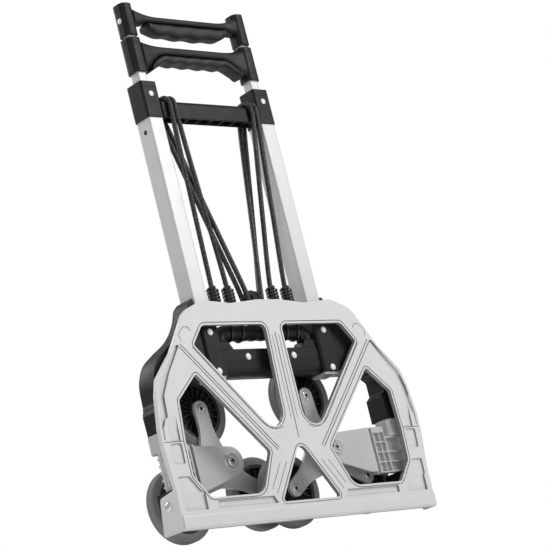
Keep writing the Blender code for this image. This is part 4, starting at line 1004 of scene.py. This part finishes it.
def hinge_block(side):
    """Knuckle above the barrel with moulded rungs, and a spine down to the foot."""
    node = Box(side + "_hinge_block")
    hinge = Vector(JOINTS[side + "_wheel_fold"]["pos_m"])
    sign = SIDES[side]
    knuckle, foot_top = (0.1100, node.high.z), node.low.z
    inner, outer = 0.1940, 0.2335
    outline = fillet(sided([(inner, 0.0049, 0.008), (outer, 0.0049, 0.004), (outer, 0.0350, 0.006),
                            (inner, 0.0350, 0.010)], sign))
    block = slab("top", [outline], *knuckle)
    soften(block, 0.0008, 3)
    fuse(block, side_block(sign, (0.2295, 0.0100, foot_top), (outer - 0.0010, 0.0210, knuckle[0] + 0.002)))
    for k in range(5):
        z = foot_top + 0.0050 + 0.0095 * k
        fuse(block, side_block(sign, (0.2290, 0.0090, z), (outer - 0.0003, 0.0230, z + 0.0026)))
    cut(block, side_block(sign, (outer - 0.0022, 0.0142, foot_top + 0.001), (outer + 0.002, 0.0160, 0.1085)))
    for k in range(3):
        z = knuckle[0] + 0.0045 + 0.0055 * k
        cut(block, soften(side_block(sign, (0.1990, 0.0030, z), (0.2240, 0.0061, z + 0.0038)), 0.0005, 2))
    cut(block, rod(PIN_HOLE_R, 0, 0.1, location=(hinge.x, hinge.y, 0.09)))
    piece(block, side + "_hinge_casting", "frame", "grey_plastic", side + "_hinge_block")


def foot(side):
    """Rounded foot that holds the hinge pin's lower end and the toe plate's pivot."""
    node = Box(side + "_foot")
    hinge = Vector(JOINTS[side + "_wheel_fold"]["pos_m"])
    reach = 0.0156
    turns = [polar(reach, math.pi / 2 * k / 12) for k in range(13)]
    arc = [Vector((PIVOT[1] - a, PIVOT[2] - b)) for a, b in turns]
    low, high = node.low.z, node.high.z
    rear = fillet([(node.high.y, low, 0.003), (node.high.y, high, 0), (0.0060, high, 0),
                   (PIVOT[1] - reach, 0.0450, 0)])
    block = slab("side", [arc + rear], node.low.x, node.high.x)
    soften(block, 0.0010, 3)
    sign = SIDES[side]
    for k in range(3):
        x = 0.1995 + 0.0110 * k
        cut(block, soften(side_block(sign, (x, node.high.y - 0.0030, low + 0.0060),
                                     (x + 0.0080, node.high.y + 0.002, high - 0.0060)), 0.0006, 2))
    cut(block, rod(PIN_HOLE_R, 0, 0.1, location=(hinge.x, hinge.y, high - 0.013)),
        rod(PIN_HOLE_R, -0.03, 0.03, "X", (sign * (0.2075 + 0.03), PIVOT[1], PIVOT[2])))
    piece(block, side + "_foot_moulding", "frame", "black_plastic", side + "_foot")


# ---------------------------------------------------------------- frame mouldings
TUBE = Box("right_outer_tube")
TUBE_X, TUBE_Y = TUBE.mid.x, TUBE.mid.y
GAP = 0.0003
SOCKET_WALL, BLOCK_WALL = 0.0022, 0.0013
TUBE_INNER, TUBE_OUTER = TUBE_X - TUBE.size.x / 2, TUBE_X + TUBE.size.x / 2


def sleeve(sign, wall_x, wall_y):
    """The outline of a sleeve round a tube, with walls of two thicknesses."""
    return rectangle(TUBE.size.x + 2 * (wall_x + GAP), TUBE.size.y + 2 * (wall_y + GAP),
                     (sign * TUBE_X, TUBE_Y), 0.0035)


def tube_hole(sign, size, low, high):
    """The tool for the hole that a tube runs in."""
    outline = rectangle(size.x + 2 * GAP, size.y + 2 * GAP, (sign * TUBE_X, TUBE_Y), 0.002)
    return slab("top", [outline], low, high)


def base_crossbeam():
    """Crossbeam with a strapped socket at each end, sloped seats for the carry handle, and gussets."""
    node = Box("base_crossbeam")
    low, top, seat_top = node.low.z, 0.2450, 0.2560
    front, rear = 0.0050, 0.0290
    inner = TUBE_INNER - SOCKET_WALL
    strap_front = node.low.y - 0.0006
    section = fillet([(front, top, 0.002), (front, 0.2290, 0.004), (front + 0.0010, low, 0.013),
                      (rear, low, 0.004), (rear, top, 0.003)], 8)
    beam = slab("side", [section], -inner, inner)
    seat = [(0.066, top - 0.004, 0), (0.066, top, 0), (0.073, seat_top, 0.003),
            (inner + 0.001, seat_top, 0), (inner + 0.001, top - 0.004, 0)]
    strap_in, strap_out = TUBE_X - 0.0125, TUBE_X + 0.0135
    strap = [(strap_in, 0.2075, 0.002), (strap_out, 0.2075, 0.002), (strap_out, 0.2960, 0.002),
             (strap_in, 0.2960, 0.002)]
    for sign in (-1, 1):
        fuse(beam, soften(slab("front", [fillet(sided(seat, sign))], front + 0.001, rear - 0.001), 0.0008))
        fuse(beam, soften(slab("top", [sleeve(sign, SOCKET_WALL, 0.0028)], low, node.high.z), 0.0009))
        fuse(beam, soften(slab("front", [fillet(sided(strap, sign))], strap_front, node.low.y + 0.002),
                          0.0005, 2))
        cut(beam, tube_hole(sign, TUBE.size, low - 0.01, node.high.z + 0.01))
    # a line between the flat upper face and the rounded lower half
    cut(beam, blocks(((-inner + 0.003, front - 0.001, 0.2278), (inner - 0.003, front + 0.0004, 0.2284))))
    piece(beam, "crossbeam_moulding", "frame", "black_plastic", "base_crossbeam")
    heads = []
    for sign in (-1, 1):
        heads.append(rivet((sign * 0.0435, front, 0.2335), "-Y"))
        for z in (0.2680, 0.2125):
            heads.append(rivet((sign * (TUBE_X + 0.001), strap_front, z), "-Y"))
    piece(joined(*heads), "crossbeam_rivets", "frame", "steel", paint=RIVET_PAINTED_HIGHLIGHT)


def side_arm(side):
    """Rounded wing from the tube socket out and down to the wheel hinge, stepped like a sleeve."""
    node = Box(side + "_side_arm")
    sign = SIDES[side]
    inner = TUBE_OUTER + SOCKET_WALL + 2 * GAP
    corners = [(inner, 0.208, 0), (inner, 0.3180, 0), (0.1325, 0.3100, 0.020), (0.1392, 0.2933, 0.060),
               (0.1503, 0.2771, 0.060), (0.1649, 0.2627, 0.080), (0.1850, 0.2510, 0.080),
               (0.2130, 0.2320, 0.060), (0.2250, 0.2060, 0.060), (0.2260, 0.176, 0.003),
               (0.2300, 0.163, 0.002), (0.2290, node.low.z, 0), (0.1940, node.low.z, 0), (0.1945, 0.169, 0.002),
               (0.2030, 0.175, 0.002), (0.2030, 0.196, 0.006), (0.1860, 0.208, 0.008)]
    front, rear = node.low.y, node.high.y
    arm = slab("front", [fillet(sided(corners, sign), 8)], front, rear)
    soften(arm, 0.0042, 4, 60)
    # two fine grooves all round, then three rungs
    for z in (0.2045, 0.1700):
        band = side_block(sign, (0.19, front - 0.002, z - 0.0005), (0.24, rear + 0.002, z + 0.0005))
        core = side_block(sign, (0.2036, front + 0.0006, z - 0.002), (0.2252, rear - 0.0006, z + 0.002))
        cut(arm, cut(band, core))
    cut(arm, *[side_block(sign, (0.2055, front - 0.001, 0.1400 + 0.0070 * k),
                          (0.2200, front + 0.0012, 0.1425 + 0.0070 * k)) for k in range(3)])
    piece(arm, side + "_wing", "frame", "black_plastic", side + "_side_arm", angle=40)
    lug = lathe([(0, 0), (0.0030, 0), (0.0030, 0.0012), (0.0022, 0.0020), (0, 0.0022)], "-Y",
                (sign * 0.2150, front + 0.0001, 0.1850), 24)
    piece(lug, side + "_wing_rivet", "frame", "steel", paint=RIVET_PAINTED_HIGHLIGHT)


def yoke():
    """Crossbar with a rounded top, joined to a block round the top of each outer tube."""
    node = Box("yoke")
    near, far, low, top = 0.0008, 0.0218, 0.5830, 0.6100
    inner = TUBE_INNER - BLOCK_WALL
    rivet_z = 0.6180
    section = fillet([(near, low, 0.001), (near, top, 0.0085), (far, top, 0.0085), (far, low, 0.001)], 10)
    beam = slab("side", [section], -inner, inner)
    cut(beam, blocks(((-inner + 0.004, near + 0.0022, low - 0.002),
                      (inner - 0.004, far - 0.0022, low + 0.012))))
    for k in range(-3, 4):
        fuse(beam, blocks(((0.022 * k - 0.0008, near + 0.001, low + 0.0006),
                           (0.022 * k + 0.0008, far - 0.001, low + 0.0125))))
    front = TUBE_Y - TUBE.size.y / 2 - BLOCK_WALL - GAP
    for sign in (-1, 1):
        block = slab("top", [sleeve(sign, BLOCK_WALL, BLOCK_WALL)], node.low.z, node.high.z)
        shoulder = side_block(sign, (inner, near - 0.0004, 0.5860), (inner - 0.012, far, 0.6070))
        fuse(beam, soften(block, 0.0011))
        fuse(beam, soften(shoulder, 0.0020))
        cut(beam, tube_hole(sign, TUBE.size, node.low.z - 0.01, TUBE.high.z + GAP),
            tube_hole(sign, Box("right_middle_tube").size, TUBE.high.z - 0.01, node.high.z + 0.01),
            rod(0.0023, -0.004, 0.004, "Y", (sign * TUBE_X, front, rivet_z), 20))
        # a fine line across the block's front, over the rivet
        cut(beam, side_block(sign, (TUBE_X - 0.02, front - 0.003, 0.6276),
                             (TUBE_X + 0.02, front + 0.0004, 0.6281)))
    piece(beam, "yoke_moulding", "frame", "black_plastic", "yoke")
    for side, sign in SIDES.items():
        ring = lathe([(0, 0.0010), (0.0019, 0.0010), (0.0024, 0.0002), (0.0030, 0.0), (0.0037, 0.0003),
                      (0.0042, 0.0009), (0.0042, 0.0012), (0.0020, 0.0012), (0.0020, 0.0033), (0, 0.0033)],
                     "Y", (sign * TUBE_X, Box(side + "_yoke_rivet").low.y, rivet_z), 32)
        piece(ring, side + "_yoke_eyelet", "frame", "steel", side + "_yoke_rivet", paint=RIVET_PAINTED_HIGHLIGHT)


def carry_handle():
    """Grab bar with bellows rings near its ends and a lobed grip in the middle."""
    node = Box("carry_handle")
    y, end, radius = node.mid.y, 0.0812, 0.0109
    grip_half, lobe = 0.036, 0.018
    bellows_in, bellows_out, ring = 0.0455, 0.0595, 0.0035
    foot_z = node.low.z
    bend = CARRY_Z - foot_z - 0.002
    half = [Vector((end, y, foot_z))]
    for k in range(13):
        turn = math.pi / 2 * k / 12
        half.append(Vector((end - bend * (1 - math.cos(turn)), y, foot_z + 0.002 + bend * math.sin(turn))))
    half += [Vector((half[-1].x * (1 - k / 30), y, CARRY_Z)) for k in range(1, 31)]
    line, _ = evenly(half + mirrored(half[:-1]), 0.0007)
    radii = []
    for point in line:
        across = abs(point.x)
        swell = radius
        if across < grip_half:
            swell = 0.0110 + 0.0005 * math.cos(2 * math.pi * across / lobe)
            swell -= 0.0012 * max(0.0, (across - 0.033) / 0.003)
        elif bellows_in < across < bellows_out:
            swell *= 0.90 + 0.10 * abs(math.sin(math.pi * (across - bellows_in) / ring)) ** 0.7
        radii.append(swell)
    piece(round_bar(line, radii, 32), "carry_handle_bar", "frame", "black_plastic", "carry_handle", angle=50)


# ---------------------------------------------------------------- telescoping handles
def seam(x, level, flat, half, drop):
    """The height of the line between a handle's bar and its grip: level, then curving down."""
    past = max(0.0, abs(x) - flat) / (half - flat)
    return level - drop * past ** 2


def lower_line(x):
    return seam(x, 0.6830, 0.052, 0.088, 0.022)


def upper_line(x):
    return seam(x, 0.7320, 0.070, 0.088, 0.004)


def oval(depth, low, high, sides, power):
    """A rounded cross-section (y, z) between two heights, squarer as the power grows."""
    ring = []
    for k in range(sides):
        c, s = polar(1, 2 * math.pi * k / sides)
        ring.append((math.copysign(abs(c) ** (2 / power), c) * depth / 2,
                     (low + high) / 2 + math.copysign(abs(s) ** (2 / power), s) * (high - low) / 2))
    return ring


def loft(stations):
    """A closed skin through cross-sections, each (x, ring of (y, z))."""
    shape = bmesh.new()
    return skin(shape, [[shape.verts.new((x, TUBE_Y + y, z)) for y, z in ring] for x, ring in stations])


def handle(name, cap, cap_z, bar_top, rise, line, half, tube, through, body, seam_drop):
    """Rounded bar joined to a softly rounded cap on each tube, which a thinner tube may run through."""
    inner = TUBE_X - cap[0] / 2 + 0.002
    count, rise_from, flare_from = 40, 0.55, 0.8
    stations = []
    for k in range(-count, count + 1):
        x = inner * k / count
        share = max(0.0, abs(k) / count - rise_from)
        top = bar_top + rise * share ** 2 / 0.2025
        low = line(max(-half, min(half, x)))
        depth = 0.0215 + 0.0020 * max(0.0, abs(k) / count - flare_from) / 0.2
        stations.append((x, oval(depth, low, top, 32, 3.6)))
    bar = loft(stations)
    for sign in (-1, 1):
        centre = (sign * TUBE_X, TUBE_Y)
        block = slab("top", [rectangle(*cap, centre, 0.0085, 10)], *cap_z)
        fuse(bar, soften(block, 0.0036, 5, 60))
        cut(bar, tube_hole(sign, tube.size, cap_z[0] - 0.02, tube.high.z + GAP))
        if through:
            cut(bar, tube_hole(sign, through.size, tube.high.z - 0.01, cap_z[1] + 0.01))
        # a fine groove round the cap, but not across the bar's end
        seam_z = cap_z[1] - seam_drop
        groove = slab("top", [rectangle(cap[0] + 0.01, cap[1] + 0.01, centre, 0.0085, 8),
                              rectangle(cap[0] - 0.0009, cap[1] - 0.0009, centre, 0.0081, 8)],
                      seam_z - 0.0003, seam_z + 0.0003)
        cut(groove, side_block(sign, (0, 0, cap_z[0] - 0.1),
                               (TUBE_X - cap[0] / 2 + 0.0035, 0.05, cap_z[1] + 0.1)))
        cut(bar, groove)
    piece(bar, name + "_shell", body, "black_plastic", name)


def grip(name, line, half, thick, lobes, body, ends):
    """Soft grip with finger lobes below, rounded in section, and a ring groove near each end."""
    stations = []
    count = 120
    for k in range(-count, count + 1):
        x = half * k / count
        share = abs(x) / half
        high = line(x) - GAP
        wave = math.cos(math.pi * lobes * (x / half + 1))
        low = high - thick * (1 - 0.35 * share ** 4) + 0.0012 * wave
        grooves = [1 - abs(share - spot) / 0.012 for spot in ends]
        shrink = 0.0007 * max(0.0, (share - 0.985) / 0.015 * 1.2, *grooves)
        depth = 0.0235 + 0.0006 * wave - 2 * shrink
        stations.append((x, oval(depth, low + shrink, high, 36, 3.0)))
    piece(loft(stations), name + "_rubber", body, "grip_rubber", name, angle=50)


def handles():
    """The lower and the upper handle, each with its grip, and the upper one's studs and screws."""
    middle, inner = Box("right_middle_tube"), Box("right_inner_tube")
    upper_cap = (0.0215, 0.0245)
    handle("lower_handle", cap=(0.0236, 0.0250), cap_z=(0.6540, 0.7055), bar_top=0.6955, rise=0.007,
           line=lower_line, half=0.088, tube=middle, through=inner, body="lower_stage", seam_drop=0.0075)
    grip("lower_grip", lower_line, 0.086, 0.0125, 6, "lower_stage", (0.90, 0.93))
    handle("upper_handle", cap=upper_cap, cap_z=(0.7105, 0.7580), bar_top=0.7415, rise=0.010,
           line=upper_line, half=0.090, tube=inner, through=None, body="upper_stage", seam_drop=0.0085)
    grip("upper_grip", upper_line, 0.074, 0.0185, 4, "upper_stage", (0.88, 0.92))
    screw_x = 0.0800
    studs, screws = [], []
    for sign in (-1, 1):
        stud_at = (sign * (TUBE_X + upper_cap[0] / 2), TUBE_Y, 0.7335)
        screw_at = (sign * screw_x, TUBE_Y, upper_line(screw_x) + 0.0012)
        studs.append(rivet(stud_at, OUTWARD[sign], 0.0040, 0.0012))
        screws.append(cross_head(screw_at, "-Z", 0.0024, 0.0018))
    piece(joined(*studs), "upper_cap_rivets", "upper_stage", "steel", paint=RIVET_PAINTED_HIGHLIGHT)
    piece(joined(*screws), "upper_grip_screws", "upper_stage", "steel")


# ---------------------------------------------------------------- studio
# (name, where it hangs, width in metres, watts)
LAMPS = (("key", (1.4, -2.6, 1.9), 1.6, 58.0), ("fill", (-2.6, -1.2, 1.0), 2.0, 10.0),
         ("low", (0.6, -2.4, -0.6), 1.4, 8.0), ("back", (-0.8, 2.6, 2.2), 1.8, 36.0),
         ("top", (0.0, 0.2, 3.0), 1.6, 25.0))
LAMP_TARGET = Vector((0, 0, 0.38))


def studio():
    """Pale floor that shows only from above, a pale backdrop colour and soft lights."""
    floor = bpy.data.materials.new("studio_floor")
    floor.use_nodes = True
    tree = floor.node_tree
    shader = tree.nodes["Principled BSDF"]
    tint = noise(tree, wire(tree, "TexCoord").outputs["Object"], 3.0, 2.0)
    color = blend(tree, tint, (0.66, 0.66, 0.66, 1), (0.70, 0.70, 0.70, 1))
    tree.links.new(color, shader.inputs["Base Color"])
    shader.inputs["Roughness"].default_value = 0.7
    shader.inputs["Emission Color"].default_value = (1, 1, 1, 1)
    shader.inputs["Emission Strength"].default_value = 0.22
    under = wire(tree, "NewGeometry").outputs["Backfacing"]
    mixed = wire(tree, "MixShader", [(0, under), (1, shader.outputs[0]),
                                     (2, wire(tree, "BsdfTransparent").outputs[0])])
    tree.links.new(mixed.outputs[0], tree.nodes["Material Output"].inputs["Surface"])
    shape = bmesh.new()
    bmesh.ops.create_circle(shape, cap_ends=True, segments=64, radius=6.0)
    ground = from_bmesh(shape, "floor", Matrix.Translation((0, 0, CAD_BOX[0][2] - 0.0005)))
    ground.data.materials.append(floor)
    world = bpy.data.worlds.new("studio")
    world.use_nodes = True
    tree = world.node_tree
    shown = wire(tree, "Background", [("Color", (1, 1, 1, 1)), ("Strength", 1.0)])
    glow = wire(tree, "Background", [("Color", (1, 1, 1, 1)), ("Strength", 0.31)])
    mixed = wire(tree, "MixShader", [(0, wire(tree, "LightPath").outputs["Is Camera Ray"]),
                                     (1, glow.outputs[0]), (2, shown.outputs[0])])
    tree.links.new(mixed.outputs[0], tree.nodes["World Output"].inputs["Surface"])
    bpy.context.scene.world = world
    for name, spot, size, power in LAMPS:
        lamp = bpy.data.lights.new(name, "AREA")
        lamp.size = size
        lamp.energy = power
        thing = bpy.data.objects.new(name, lamp)
        bpy.context.scene.collection.objects.link(thing)
        aim = LAMP_TARGET - Vector(spot)
        thing.matrix_world = Matrix.Translation(spot) @ aim.to_track_quat("-Z", "Y").to_matrix().to_4x4()
    bpy.context.scene.view_settings.view_transform = "Standard"


# ---------------------------------------------------------------- making
camera()
hooks = {name: cord_hook(name + "_hook")
         for name in ("left_outer", "left_inner", "right_inner", "right_outer")}
bungee_cord("outer_bungee_cord", OUTER_ROUTE)
bungee_cord("inner_bungee_cord", INNER_ROUTE)
cord_anchor()
toe_plate()
toe_pivots()
wheels()
for side in SIDES:
    tri_star(side)
    wheel_bracket(side)
    hinge_block(side)
    foot(side)
    side_arm(side)
base_crossbeam()
yoke()
carry_handle()
handles()
# the nodes that stay as the CAD has them
for node, kind in (("outer_tube", "aluminium"), ("middle_tube", "aluminium"), ("inner_tube", "aluminium"),
                   ("hinge_pin", "steel"), ("snap_button", "steel")):
    for side in SIDES:
        for material_slot in NODES[side + "_" + node].material_slots:
            material_slot.material = MATERIALS[kind]
studio()
